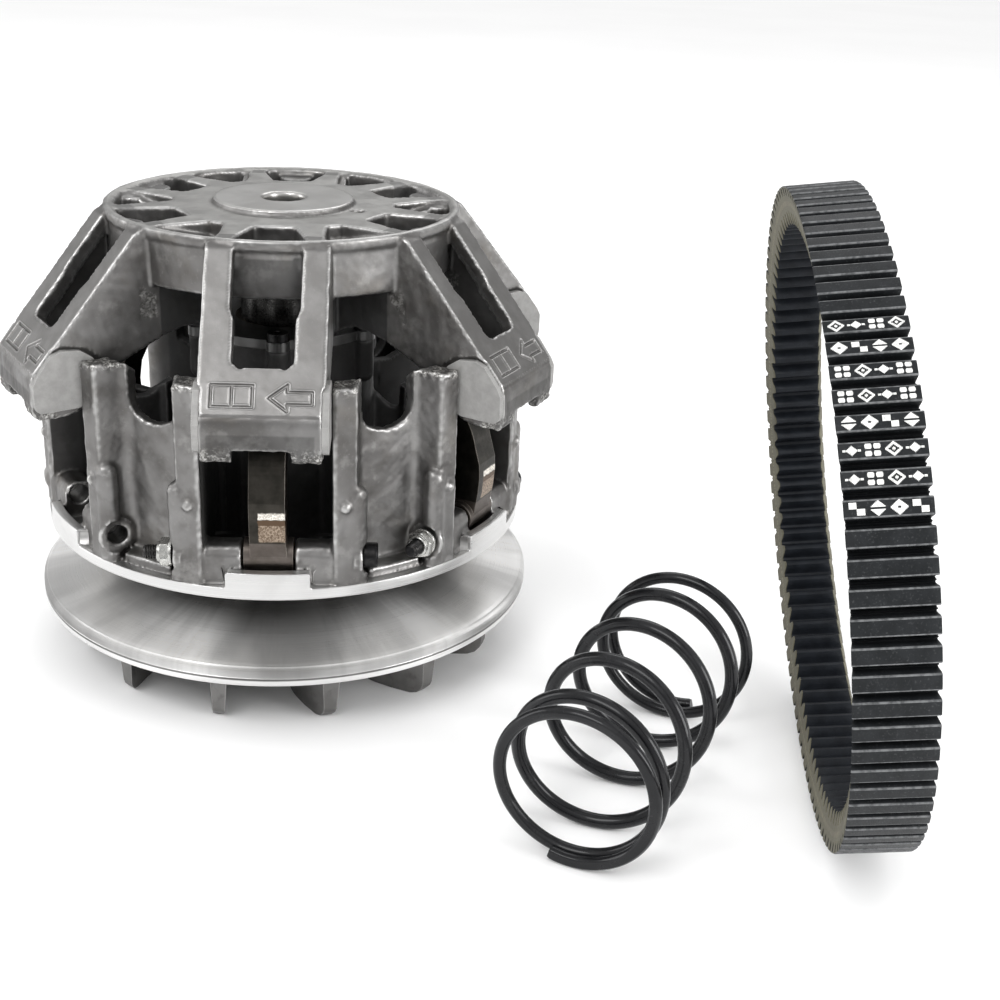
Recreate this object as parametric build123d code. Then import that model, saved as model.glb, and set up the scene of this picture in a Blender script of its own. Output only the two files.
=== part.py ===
from build123d import *
import math
import os

# Drive set of a belt-type continuously variable transmission: the drive clutch
# (fixed sheave, sliding sheave, governor cup with six arms), its return spring
# taken out and lying on the floor, and the belt standing on edge.
# Millimetres and degrees. +Z is the clutch axis, z = 0 is the floor under the fan
# fins and the origin is on the clutch axis. Azimuth 0 is -Y and 90 is +X. The
# clutch is drawn fully closed.
# Outlines are (r, z) points unless noted; t is the tangential distance from the
# middle of an arm or bay, which is drawn along azimuth 0 and then turned.

# ---- driving dimensions ----
N_ARMS = 6
PITCH = 360.0 / N_ARMS
HALF_PITCH = PITCH / 2
FIRST_AZ = 4.2            # azimuth of the first arm
ARM_AZ = [FIRST_AZ + PITCH * k for k in range(N_ARMS)]
LOADED = (0, 1, 3, 4)     # arms and bays that carry a roller and a flyweight
LOADED_AZ = [ARM_AZ[k] for k in LOADED]
TRAVEL = 24.0             # travel of the sliding sheave
SWING = 28.0              # flyweight swing over that travel
CLEAR = 0.05              # radial running clearance
FIT = 0.02                # gap between parts that sit tight

R_SHAFT = 19.0
R_SHAFT_LOW = 24.0
R_SHAFT_BORE = 14.5
R_CRANK = 14.0            # pilot bore for the crank nose
R_CUP_BORE = 17.0
R_GROOVE = 18.0           # floor of the snap ring grooves
IDLER_GROOVE = (68.3, 69.3)        # z range
SEAT_GROOVE = (103.3, 104.9)
IDLER_Z0, IDLER_Z1 = 46.4, 67.9
R_IDLER_BUSH = 22.0

FACE_SLOPE = math.tan(math.radians(11.5))    # sheave face against the horizontal
R_FIX, Z_FIX_RIM = 109.0, 33.0     # fixed sheave rim
Z_FIX_HUB = 45.8                   # flat round the shaft on the fixed face
R_SLI, Z_SLI_RIM = 103.9, 61.1     # sliding sheave rim

N_FINS, FIN_AZ = 13, -8.7
FIN_R0, FIN_R1 = 39.0, 97.0
FIN_SWEEP = 15.0
FIN_STEPS = 8
FIN_Z = 30.5                       # where a fin starts under the sheave

BAY_HALF = 25.0                    # half width of a bay between its towers
TOWER_T = BAY_HALF + 9.6           # t of a tower's side facing away from the bay
BOSS_T = TOWER_T + 2.0             # t of the pivot boss face
R_TOWER, Z_TOWER = 103.0, 147.0
R_WALL, WALL = 91.0, 4.5
WALL_Z0 = 60.5
R_CHAMBER, R_HUB, Z_HUB = 33.5, 38.0, 143.0
R_LOWER_BORE = 22.0
R_RECESS = 31.5                    # recess under the web
Z_WEB0, Z_WEB1 = 69.8, 79.0        # web that carries the lower bushing

R_CAP_BORE = 21.5
Z_CAP = Z_HUB + 4.0                # top of the spring cap
R_CAP_SCREWS = 39.5

PIVOT = (92.0, 76.0)               # (r, z) of the flyweight pivot
ROLLER = (88.0, 137.0)             # (r, z) of the roller pin
RIVET = (PIVOT[0] - 14.2, PIVOT[1] + 53.6)
R_PIVOT, R_PIN, R_ROLLER, R_RIVET = 3.0, 3.0, 8.0, 2.6
R_ROLLER_BORE, ROLLER_HALF = 5.0, 8.0
R_WEIGHT_BORE, WEIGHT_HALF, WEIGHT_HUB_HALF = 4.5, 7.0, 9.6

Z_TOP, R_DISC = 196.0, 73.8        # governor cup disc
R_SEAT, Z_SEAT = 29.2, 197.6
R_BOLT = 8.8                       # bolt clearance hole in the cup
SLOPE_R0, SLOPE_Z0 = R_DISC, 193.2           # outer line of an arm: disc end
SLOPE_R1, SLOPE_Z1 = 117.6, 141.0            # outer line of an arm: knee
ARM_HALF, ARM_IN = 23.5, 19.0      # half width over and between the gussets
SHOE_T = 22.1                      # t of the recess floor behind a slider shoe

SPRING_RM, WIRE = 29.9, 4.8
SPRING_C = (127.2, -179.5)         # plan centre of the first ring
SPRING_ANGLE = 66.9                # direction of the spring's axis from +X
SPRING_LEN = 122.0
SPRING_STEPS = 146

BELT_C = (219.6, -112.1)           # plan centre
BELT_A, BELT_B = 140.0, 115.9      # half length, half height
BELT_YAW, BELT_LEAN = 3.6, -8.2
BELT_W, BELT_T = 25.0, 14.0        # top width, thickness
N_BELT = 120                       # straight sides round the loop
N_ELLIPSE = 2400                   # fine steps used to space them

os.makedirs("parts", exist_ok=True)


# ---- helpers ----
def poly(pts):
    """Face from points given in either sense."""
    area = sum(p[0] * q[1] - q[0] * p[1] for p, q in zip(pts, pts[1:] + pts[:1]))
    if area < 0:
        pts = pts[::-1]
    return Polygon(*pts, align=None)


def rev(pts):
    return revolve(Plane.XZ * poly(pts), Axis.Z, 360)


def tube(r0, r1, z0, z1):
    return rev([(r0, z0), (r1, z0), (r1, z1), (r0, z1)])


def disc(r, z0, z1, x=0.0, y=0.0):
    return Pos(x, y, (z0 + z1) / 2) * Cylinder(r, z1 - z0)


def web(pts, t0, t1):
    """(r, z) outline extruded from t0 to t1."""
    plane = Plane(origin=(t1, 0, 0), x_dir=(0, -1, 0), z_dir=(-1, 0, 0))
    return extrude(plane * poly(pts), t1 - t0)


def block(t0, t1, r0, r1, z0, z1):
    centre = Pos((t0 + t1) / 2, -(r0 + r1) / 2, (z0 + z1) / 2)
    return centre * Box(t1 - t0, r1 - r0, z1 - z0)


def cross_plane(place, t0):
    return Plane(origin=(t0, -place[0], place[1]), x_dir=(0, 1, 0), z_dir=(1, 0, 0))


def rod(place, radius, t0, t1):
    """Tangential cylinder whose axis passes through place, an (r, z) point."""
    return extrude(cross_plane(place, t0) * Circle(radius), t1 - t0)


def sleeve(place, r0, r1, t0, t1):
    return rod(place, r1, t0, t1) - rod(place, r0, t0 - 1, t1 + 1)


def hex_rod(place, across, t0, t1):
    sketch = cross_plane(place, t0) * RegularPolygon(across / 2, 6, major_radius=False)
    return extrude(sketch, t1 - t0)


def span(side, near, far):
    """t range from near to far on the side -1 or 1."""
    return sorted((side * near, side * far))


def turned(az, shape):
    return Rot(0, 0, az) * shape


def polar(r, az):
    a = math.radians(az)
    return (r * math.sin(a), -r * math.cos(a))


def joined(parts):
    return parts[0].fuse(*parts[1:])


def save(name, shape):
    several = isinstance(shape, Compound) and len(shape.solids()) > 1
    export_step(shape if several else shape.solids()[0], "parts/" + name + ".step")


def save_group(name, shapes):
    save(name, Compound(children=[s.solids()[0] for s in shapes]))


# ---- fixed sheave with its fan ----
def z_fixed(r):
    return Z_FIX_RIM + (R_FIX - r) * FACE_SLOPE


FIN_ENVELOPE = [
    (36, 33), (64, 30), (98.6, 26), (98.0, 18), (96.2, 7.5), (94.8, 3.2), (92.8, 0.9),
    (90.0, 0), (72, 0), (58, 3), (50, 9), (42, 18), (36, 24)]


def fin():
    one_side, other_side = [], []
    for j in range(FIN_STEPS + 1):
        u = j / FIN_STEPS
        r = FIN_R0 + (FIN_R1 - FIN_R0) * u
        az = FIN_SWEEP * u ** 1.3 - FIN_SWEEP
        half_angle = math.degrees((3.2 + 1.2 * u) / r)
        one_side.append(polar(r, az - half_angle))
        other_side.append(polar(r, az + half_angle))
    plan = poly(one_side + other_side[::-1])
    blade = extrude(Pos(0, 0, FIN_Z) * plan, FIN_Z, dir=(0, 0, -1), taper=3.4)
    return (blade & rev(FIN_ENVELOPE)).solids()[0]


def fixed_sheave():
    r_flat = R_FIX - (Z_FIX_HUB - Z_FIX_RIM) / FACE_SLOPE
    plate = rev([
        (R_SHAFT_LOW, Z_FIX_HUB), (r_flat, Z_FIX_HUB), (105.6, z_fixed(105.6)),
        (107.2, z_fixed(107.2) - 0.12), (108.3, 32.5), (108.85, 31.7), (R_FIX, 30.6),
        (R_FIX, 26.4), (108.6, 25.3), (107.4, 24.7), (101, 24.3), (97, 25.2),
        (42, 37.5), (40, 36), (40, 8), (R_SHAFT_LOW, 8)])
    fins = [turned(FIN_AZ + 360.0 / N_FINS * i, fin()) for i in range(N_FINS)]
    return joined([plate] + fins)


save("fixed_sheave", fixed_sheave())

# ---- shaft, retaining rings, spring seat, belt idler ----
save("drive_shaft", rev([
    (R_CRANK, 0), (R_SHAFT_LOW - 1, 0), (R_SHAFT_LOW, 1), (R_SHAFT_LOW, Z_FIX_HUB),
    (R_SHAFT, Z_FIX_HUB), (R_SHAFT, IDLER_GROOVE[0]), (R_GROOVE, IDLER_GROOVE[0]),
    (R_GROOVE, IDLER_GROOVE[1]), (R_SHAFT, IDLER_GROOVE[1]), (R_SHAFT, SEAT_GROOVE[0]),
    (R_GROOVE, SEAT_GROOVE[0]), (R_GROOVE, SEAT_GROOVE[1]), (R_SHAFT, SEAT_GROOVE[1]),
    (R_SHAFT, 171.8), (R_CUP_BORE, 171.8), (R_CUP_BORE, 187.0), (R_CUP_BORE - 1, 188.0),
    (R_SHAFT_BORE, 188.0), (R_SHAFT_BORE, 45.5), (R_CRANK, 45.0)]))


def snap_ring(groove, end_play, gap_az):
    z0 = groove[0] + end_play
    z1 = groove[1] - end_play
    gap = turned(gap_az, block(-2.2, 2.2, 15, 25, z0 - 1, z1 + 1))
    return tube(R_GROOVE + CLEAR, 21.4, z0, z1) - gap


save("idler_snap_ring", snap_ring(IDLER_GROOVE, 0.05, 40))
save("seat_snap_ring", snap_ring(SEAT_GROOVE, 0.1, 100))
save("spring_seat", rev([
    (R_SHAFT + FIT, SEAT_GROOVE[1]), (31.5, SEAT_GROOVE[1]), (31.5, 107.6), (25.6, 107.6),
    (25.0, 110.5), (R_SHAFT + FIT, 110.5)]))
save("idler_bush", tube(R_SHAFT + CLEAR, R_IDLER_BUSH, IDLER_Z0, IDLER_Z1))
save("idler_sleeve", rev([
    (R_IDLER_BUSH + FIT, IDLER_Z0), (28.6, IDLER_Z0), (29.4, IDLER_Z0 + 0.8),
    (29.4, IDLER_Z1 - 0.8), (28.6, IDLER_Z1), (R_IDLER_BUSH + FIT, IDLER_Z1)]))


# ---- sliding sheave ----
def z_sliding(r):
    return Z_SLI_RIM - (R_SLI - r) * FACE_SLOPE


CAP_SCREWS = [polar(R_CAP_SCREWS, az) for az in ARM_AZ]      # (x, y)
# (t, z): notch in the top of the wall between two bays
WALL_DIP = [
    (-11.2, 134.0), (-10.6, 129.5), (-8.2, 126.4), (-4.2, 124.6), (0, 124.0), (4.2, 124.6),
    (8.2, 126.4), (10.6, 129.5), (11.2, 134.0), (11.2, 170), (-11.2, 170)]
# the tower tops fall away inwards
TOWER_ENVELOPE = [
    (70, 55), (110, 55), (110, 145.8), (101.5, 147.2), (92, 147.0), (84, 141.0), (70, 139.0)]
SIDE_PLATE = [
    (42.5, 52), (88, 60), (88, 126), (80, 116), (66, 110), (54, 110), (42.5, 116)]
PIVOT_LUG = [
    (84, 62), (98.2, 62), (98.2, 77), (96.4, 80.4), (93, 81.6), (88, 81.0), (85, 78.5), (84, 75)]
RADIAL_RIB = [(37, 52), (88, 60), (88, 121), (78, 111), (60, 104), (46, 106), (37, 114)]


def wall_plan():
    """Plan of the wall and the towers, open at the bays."""
    plan = Circle(R_WALL) - Circle(R_WALL - WALL)
    for az in ARM_AZ:
        for side in (-1, 1):
            near, far = side * BAY_HALF, side * TOWER_T
            tower = poly([(near, -80.0), (far, -80.0), (far, -110.0), (near, -110.0)])
            plan = plan + turned(az, tower)
    for az in ARM_AZ:
        plan = plan - turned(az, poly([(-BAY_HALF, -60), (BAY_HALF, -60),
                                       (BAY_HALF, -112), (-BAY_HALF, -112)]))
    plan = plan & Circle(R_TOWER)

    # corners between the wall and a tower
    corner_az = math.degrees(math.asin(TOWER_T / R_WALL))
    corners = []
    for v in plan.vertices():
        az = (math.degrees(math.atan2(v.X, -v.Y)) - FIRST_AZ) % PITCH
        off = min(abs(az - corner_az), abs(az - (PITCH - corner_az)))
        if abs(math.hypot(v.X, v.Y) - R_WALL) < 0.6 and off < 1.2:
            corners.append(v)
    plan = fillet(corners, 5.0)
    outer = [v for v in plan.vertices() if abs(math.hypot(v.X, v.Y) - R_TOWER) < 0.6]
    return fillet(outer, 1.6)


def sheave_walls():
    walls = extrude(Pos(0, 0, WALL_Z0) * wall_plan(), Z_TOWER - WALL_Z0)
    for az in ARM_AZ:
        plane = Plane(origin=(0, -70, 0), x_dir=(1, 0, 0), z_dir=(0, -1, 0))
        walls = walls - turned(az + HALF_PITCH, extrude(plane * poly(WALL_DIP), 27.5))
    return walls & rev(TOWER_ENVELOPE)


def bay_details(az):
    """Solids added to the casting round the bay at az and the wall after it."""
    found = []
    for side in (-1, 1):
        found.append(turned(az, web(SIDE_PLATE, *span(side, BAY_HALF, BAY_HALF + 5.0))))
        # lug that carries the pivot bolt inside the bay
        found.append(turned(az, web(PIVOT_LUG, *span(side, 10.3, BAY_HALF + 1.0))))
        # boss round the bolt and the rib above it, on the tower side away from the bay
        found.append(turned(az, rod(PIVOT, 7.6, *span(side, TOWER_T - 1.0, BOSS_T))))
        x, y = side * (TOWER_T - 0.6), -94.2
        rib = disc(4.3, 63.0, 103.0, x, y)
        rib = rib + Pos(x, y, 103.0) * Sphere(4.3)
        found.append(turned(az, rib & block(-60, 60, 85, 99.5, 50, 120)))
        # small pip on the tower's radially outer end
        found.append(turned(az, Pos(side * 29.8, -97.6, 99.0) * Sphere(3.0)))
    # rib from the hub to the inside of the wall
    found.append(turned(az + HALF_PITCH, web(RADIAL_RIB, -2.2, 2.2)))
    # pad on the flange outside the wall
    pad = tube(89, 99.2, 64, 69.4) & block(-11.4, 11.4, 80, 110, 60, 80)
    found.append(turned(az + HALF_PITCH, pad))
    # boss for a cap screw
    x, y = polar(R_CAP_SCREWS, az)
    found.append(disc(4.4, 128.0, Z_HUB, x, y) + Pos(x, y, 128.0) * Sphere(4.4))
    return found


def sliding_sheave():
    body = rev([
        (R_RECESS, z_sliding(34)), (34, z_sliding(34)), (R_SLI, Z_SLI_RIM), (R_SLI, 72.4),
        (99.9, 72.4), (99.9, 66.2), (86, 66.2), (83, 63.4), (R_HUB, 55.6), (R_HUB, Z_HUB),
        (R_CHAMBER, Z_HUB), (R_CHAMBER, Z_WEB1), (R_LOWER_BORE, Z_WEB1),
        (R_LOWER_BORE, Z_WEB0), (R_RECESS, Z_WEB0)])
    walls = sheave_walls()
    details = []
    for az in ARM_AZ:
        details += bay_details(az)
    # the rim keeps a tab outside each bay and is cut down between them
    rim_cut = tube(99.2, 110.0, 65.7, 90.0)
    for az in ARM_AZ:
        rim_cut = rim_cut - turned(az, block(-16.45, 16.45, 90, 112, 60, 95))
    casting = joined([body - rim_cut, walls] + details)

    cuts = []
    for k, az in enumerate(ARM_AZ):
        # the bays without a weight have a wider hole
        radius = R_PIVOT + 0.1 if k in LOADED else 4.1
        cuts.append(turned(az, rod(PIVOT, radius, -45, 45)))
        for side in (-1, 1):
            # spot face for the bolt head and the nut
            cuts.append(turned(az, rod(PIVOT, 7.0, *span(side, BOSS_T, BOSS_T + 7.0))))
        cuts.append(disc(2.5, 129.0, 150, *CAP_SCREWS[k]))
    return casting.cut(*cuts)


save("sliding_sheave", sliding_sheave())
save("lower_bushing", tube(R_SHAFT + CLEAR, R_LOWER_BORE - FIT, Z_WEB0, Z_WEB1))
save("upper_bushing", tube(R_SHAFT + CLEAR, R_CAP_BORE - FIT, 133.6, 146.4))

# ---- spring cap and its screws ----
cap = rev([
    (R_CAP_BORE, 133.0), (25.0, 133.0), (25.0, Z_HUB - 1.2), (26.2, Z_HUB), (39.4, Z_HUB),
    (39.4, Z_CAP), (R_CAP_BORE, Z_CAP)])
for place in CAP_SCREWS:
    cap = cap + disc(4.8, Z_HUB, Z_CAP, *place)
for place in CAP_SCREWS:
    cap = cap - disc(2.7, 140.0, 150.0, *place)
save("spring_cap", cap)


def cap_screw(x, y):
    screw = disc(2.45, 131.0, 147.5, x, y) + disc(4.3, Z_CAP + FIT, 150.4, x, y)
    return screw - Pos(x, y, 149.0) * extrude(RegularPolygon(1.6, 6, major_radius=False), 3)


save_group("cap_screws", [cap_screw(*place) for place in CAP_SCREWS])


# ---- pivot bolts and nuts ----
def pivot_bolt():
    bolt = rod(PIVOT, R_PIVOT, -49.0, BOSS_T + 1.0)
    bolt = bolt + rod(PIVOT, 5.1, BOSS_T, BOSS_T + 6.0)
    return bolt - hex_rod(PIVOT, 5.0, BOSS_T + 3.2, BOSS_T + 8.0)


def pivot_nut():
    nut = hex_rod(PIVOT, 10.0, -BOSS_T - 4.6, -BOSS_T - 1.2)
    nut = nut + rod(PIVOT, 5.6, -BOSS_T - 1.2, -BOSS_T)
    nut = nut + rod(PIVOT, 4.3, -BOSS_T - 6.0, -BOSS_T - 4.6)
    return nut - rod(PIVOT, R_PIVOT + FIT, -BOSS_T - 7, -BOSS_T + 1)


save_group("pivot_bolts", [turned(az, pivot_bolt()) for az in LOADED_AZ])
save_group("pivot_nuts", [turned(az, pivot_nut()) for az in LOADED_AZ])

# ---- flyweights ----
# (r, z) from the pivot: the weight's outline before and after the cam, and its back
WEIGHT_TIP = [(-16.8, 62.4), (-14.6, 61.9)]
WEIGHT_FOOT = [(8.3, 24.5), (8.6, 18.5), (8.1, 12.0), (7.2, 6.0), (6.4, 1.0)]
WEIGHT_BACK = [
    (-6.4, 1.0), (-5.6, 6.5), (-4.2, 14.0), (-3.6, 23.0), (-5.2, 32.0), (-10.0, 41.0),
    (-16.0, 48.5), (-20.6, 54.5), (-21.2, 58.5), (-19.6, 61.6)]


def cam_face():
    """Inner envelope of the roller's path seen from the weight, which swings in step
    with the sheave, so that the roller stays on the face."""
    steps = 48
    path = []
    for i in range(steps + 1):
        a = math.radians(SWING * i / steps)
        r = ROLLER[0] - PIVOT[0]
        z = ROLLER[1] - PIVOT[1] - TRAVEL * i / steps
        path.append((r * math.cos(a) + z * math.sin(a), -r * math.sin(a) + z * math.cos(a)))
    offset = R_ROLLER + 0.14
    cam = []
    for i in range(0, steps + 1, 4):
        before = path[max(i - 1, 0)]
        after = path[min(i + 1, steps)]
        dr, dz = after[0] - before[0], after[1] - before[1]
        length = math.hypot(dr, dz)
        cam.append((path[i][0] + offset * dz / length, path[i][1] - offset * dr / length))
    # straight lead-in before the first point
    dr, dz = cam[0][0] - cam[1][0], cam[0][1] - cam[1][1]
    length = math.hypot(dr, dz)
    return [(cam[0][0] + 4.0 * dr / length, cam[0][1] + 4.0 * dz / length)] + cam


def flyweight():
    outline = WEIGHT_TIP + cam_face() + WEIGHT_FOOT + WEIGHT_BACK
    outline = [(PIVOT[0] + r, PIVOT[1] + z) for r, z in outline]
    weight = web(outline, -WEIGHT_HALF, WEIGHT_HALF)
    weight = weight + rod(PIVOT, 6.6, -WEIGHT_HUB_HALF, WEIGHT_HUB_HALF)
    weight = weight - rod(PIVOT, R_WEIGHT_BORE, -12, 12)
    return weight - rod(RIVET, R_RIVET, -12, 12)


def weight_bush():
    return sleeve(PIVOT, R_PIVOT + CLEAR, R_WEIGHT_BORE - FIT, -WEIGHT_HUB_HALF, WEIGHT_HUB_HALF)


def tuning_rivet():
    rivet = rod(RIVET, R_RIVET - FIT, -7.3, 7.3)
    for side in (1, -1):
        rivet = rivet + rod(RIVET, 3.7, *span(side, WEIGHT_HALF + FIT, 8.2))
    return rivet


for n, az in enumerate(LOADED_AZ, 1):
    save("flyweight_%d" % n, turned(az, flyweight()))
    save("weight_bush_%d" % n, turned(az, weight_bush()))
    save("tuning_rivet_%d" % n, turned(az, tuning_rivet()))

# ---- rollers, pins, washers ----
pins, washers = [], []
for n, az in enumerate(LOADED_AZ, 1):
    roller = sleeve(ROLLER, R_ROLLER_BORE, R_ROLLER, -ROLLER_HALF, ROLLER_HALF)
    bush = sleeve(ROLLER, R_PIN + CLEAR, R_ROLLER_BORE - FIT, -ROLLER_HALF, ROLLER_HALF)
    save("roller_%d" % n, turned(az, roller))
    save("roller_bush_%d" % n, turned(az, bush))
    pins.append(turned(az, rod(ROLLER, R_PIN, -22.8, 22.8)))
    for side in (-1, 1):
        washer = sleeve(ROLLER, R_PIN + CLEAR, 6.4, *span(side, 8.3, 9.7))
        washers.append(turned(az, washer))
save_group("roller_pins", pins)
save_group("roller_washers", washers)

# ---- governor cup ----
slope_len = math.hypot(SLOPE_R1 - SLOPE_R0, SLOPE_Z1 - SLOPE_Z0)
down_r = (SLOPE_R1 - SLOPE_R0) / slope_len        # unit vector down the arm
down_z = (SLOPE_Z1 - SLOPE_Z0) / slope_len
out_r, out_z = -down_z, down_r                    # unit normal out of the arm's face


def on_slope(s, d=0.0):
    """(r, z) at s down the arm and d out of its face."""
    return (SLOPE_R0 + down_r * s + out_r * d, SLOPE_Z0 + down_z * s + out_z * d)


GUSSET = [
    (38, 188), (70, 195), on_slope(0), on_slope(61.5), on_slope(64.6, -0.35), (116.9, 140.9),
    (117.5, 138.4), (117.6, 127.0), (116.9, 124.8), (115.2, 123.6), (109, 123.2), (101, 124.4),
    (95.5, 127.2), (91, 133.5), (86.5, 139.2), (79, 144.2), (71.2, 148.2), (64, 151.6),
    (56, 154.2), (49.5, 154.9), (44.5, 153.4), (40.8, 150.8), (38.0, 148.6)]
CHANNEL = [
    (20, 100), (20, 215), on_slope(-40, -6.0), on_slope(66.5, -6.0), (112.2, 136.6),
    (112.2, 100)]
SHOE_ZONE = [
    (91.0, 120), (91.0, 146.5), (95.5, 150.6), (104.5, 152.4), (111.0, 150.4), (125, 138),
    (125, 120)]
# (t, s) outlines on the arm's face, s measured down the arm
WINDOW = [
    (-13.0, -8), (13.0, -8), (12.8, 24.0), (12.2, 26.5), (11.3, 28.0), (11.2, 45.5),
    (9.0, 47.9), (-9.0, 47.9), (-11.2, 45.5), (-11.3, 28.0), (-12.2, 26.5), (-12.8, 24.0)]
ARROW_OUTER = [
    (2.0, 59.2), (10.0, 53.0), (10.0, 56.3), (19.0, 56.3), (19.0, 62.1), (10.0, 62.1),
    (10.0, 65.4)]
ARROW_INNER = [
    (3.8, 59.2), (9.0, 55.1), (9.0, 57.3), (18.0, 57.3), (18.0, 61.1), (9.0, 61.1), (9.0, 63.3)]
# (t0, t1, s0, s1): grooves that draw a divided rectangle
STROKES = [
    (-18.6, -17.6, 54.0, 63.4), (-3.6, -2.6, 54.0, 63.4), (-18.6, -2.6, 54.0, 55.0),
    (-18.6, -2.6, 62.4, 63.4), (-11.1, -10.1, 54.0, 63.4)]
MARK_DEPTH = 0.7
CUP_DISC = [
    (R_BOLT, 188.0), (R_CUP_BORE + FIT, 188.0), (R_CUP_BORE + FIT, 172.0), (27.0, 172.0),
    (30.0, 184.0), (69.0, 184.0), (69.0, 174.2), (70.0, 173.0), (71.9, 173.0), (72.4, 174.0),
    (72.6, 191.0), (73.6, 192.2), (R_DISC, 193.4), (R_DISC, 195.2), (73.0, Z_TOP),
    (71.4, Z_TOP), (70.6, 195.2), (R_SEAT + 1.0, 195.2), (R_SEAT, 195.6), (R_SEAT, 197.2),
    (R_SEAT - 0.4, Z_SEAT), (R_BOLT + 0.8, Z_SEAT), (R_BOLT, Z_SEAT - 0.8)]
# (radius, azimuth offset): openings in the disc, at an arm and between two arms
POCKETS = (
    [(46.0, -10.0), (44.8, 0), (46.0, 10.0), (60.0, 11.6), (69.2, 11.8), (69.6, 6.0),
     (69.6, 0.0), (69.6, -6.0), (69.2, -11.8), (60.0, -11.6)],
    [(46.5, -4.0), (46.5, 4.0), (58.0, 9.6), (68.2, 12.2), (69.6, 8.0), (69.6, 0.0),
     (69.6, -8.0), (68.2, -12.2), (58.0, -9.6)])


def face_cut(pts, depth, above=10.0):
    """Cutter from depth under the arm's sloped face to above it."""
    plane = Plane(origin=(0, -SLOPE_R0, SLOPE_Z0), x_dir=(1, 0, 0), z_dir=(0, -out_r, out_z))
    sketch = plane * poly([(t, -s) for t, s in pts])
    outward = extrude(sketch, above, dir=(0, -out_r, out_z))
    return outward + extrude(sketch, depth, dir=(0, out_r, -out_z))


def cup_arm():
    arm = web(GUSSET, -ARM_HALF, ARM_HALF) - web(CHANNEL, -ARM_IN, ARM_IN)
    arm = arm - face_cut(WINDOW, 14.0)
    for side in (-1, 1):
        arm = arm - web(SHOE_ZONE, *span(side, SHOE_T, 26.0))
    arm = arm - block(-11.0, 11.0, 108, 125, 115, 129.0)     # notch in the lower end
    marks = [face_cut([(t0, s0), (t1, s0), (t1, s1), (t0, s1)], MARK_DEPTH, 3.0)
             for t0, t1, s0, s1 in STROKES]
    arrow = face_cut(ARROW_OUTER, MARK_DEPTH, 3.0) - face_cut(ARROW_INNER, 1.5, 5.0)
    return arm.cut(*marks, arrow)


def with_pin_bosses(arm):
    for side in (-1, 1):
        arm = arm + rod(ROLLER, 6.6, *span(side, 9.8, SHOE_T))
    return arm - rod(ROLLER, R_PIN + FIT, -30, 30)


def governor_cup():
    pockets = []
    for i in range(2 * N_ARMS):
        sketch = poly([polar(r, offset) for r, offset in POCKETS[i % 2]])
        sketch = fillet(sketch.vertices(), 2.2)
        pockets.append(turned(FIRST_AZ + HALF_PITCH * i, extrude(Pos(0, 0, 165) * sketch, 40)))
    top = rev(CUP_DISC).cut(*pockets)

    bosses = []
    for i, az in enumerate(ARM_AZ):
        boss = disc(7.4, 176.0, 192.6, *polar(69.0, az))
        bosses.append(boss & tube(50, 70.5, 170, 200))
        # these sit beside every second pair of arms
        offset = 18.6 if i % 2 == 0 else PITCH - 18.6
        boss = disc(5.6, 176.0, 193.0, *polar(66.6, az + offset))
        bosses.append(boss & tube(50, 70.5, 170, 200))

    plain = cup_arm()
    loaded = with_pin_bosses(plain)
    arms = [turned(az, loaded if k in LOADED else plain) for k, az in enumerate(ARM_AZ)]
    cup = joined([top] + bosses + arms)
    # one small hole through the disc
    return cup.cut(disc(2.7, 180, 200, *polar(34.0, 72.0)))


save("governor_cup", governor_cup())

# ---- slider shoes ----
SHOE = [
    (91.4, 139.0), (93.0, 133.0), (96.4, 129.0), (100.0, 127.6), (114.8, 127.2),
    (116.6, 128.6), (117.2, 131.0), (117.2, 138.6), (115.6, 141.8), (109.6, 149.4),
    (105.4, 151.2), (98.0, 150.4), (93.4, 147.2), (91.4, 144.0)]
save_group("slider_shoes", [
    turned(az, web(SHOE, *span(side, SHOE_T + CLEAR, 24.75)))
    for az in ARM_AZ for side in (-1, 1)])

# ---- return spring, lying on the floor ----
# (wire angle, distance along the axis)
KNOTS = [
    (-105, 0.0), (60, 0.3), (270, 5.3), (450, 12.6), (630, 26.0), (810, 42.0), (1170, 73.0),
    (1530, 102.0), (1710, 113.6), (1890, 119.2), (2085, SPRING_LEN)]


def advance(angle):
    """Monotone cubic through KNOTS: how far along the axis the wire is at angle."""
    spans = [b[0] - a[0] for a, b in zip(KNOTS, KNOTS[1:])]
    slopes = [(b[1] - a[1]) / (b[0] - a[0]) for a, b in zip(KNOTS, KNOTS[1:])]
    means = [2 * p * q / (p + q) for p, q in zip(slopes, slopes[1:])]
    tangents = [slopes[0]] + means + [slopes[-1]]
    i = 0
    while i < len(spans) - 1 and angle > KNOTS[i + 1][0]:
        i += 1
    u = (angle - KNOTS[i][0]) / spans[i]
    return (KNOTS[i][1] * (2 * u ** 3 - 3 * u ** 2 + 1)
            + spans[i] * tangents[i] * (u ** 3 - 2 * u ** 2 + u)
            + KNOTS[i + 1][1] * (3 * u ** 2 - 2 * u ** 3)
            + spans[i] * tangents[i + 1] * (u ** 3 - u ** 2))


def return_spring():
    a = math.radians(SPRING_ANGLE)
    along = Vector(math.cos(a), math.sin(a), 0)
    across = Vector(math.sin(a), -math.cos(a), 0)
    up = Vector(0, 0, 1)
    centre = Vector(*SPRING_C, SPRING_RM + WIRE / 2)
    pts = []
    for i in range(SPRING_STEPS + 1):
        angle = KNOTS[0][0] + (KNOTS[-1][0] - KNOTS[0][0]) * i / SPRING_STEPS
        a = math.radians(angle)
        pts.append(centre + along * advance(angle) + across * (SPRING_RM * math.cos(a))
                   + up * (SPRING_RM * math.sin(a)))
    path = Spline(*pts)
    section = Plane(origin=path @ 0, z_dir=path % 0) * Circle(WIRE / 2)
    return sweep(section, path=path, is_frenet=False)


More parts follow.
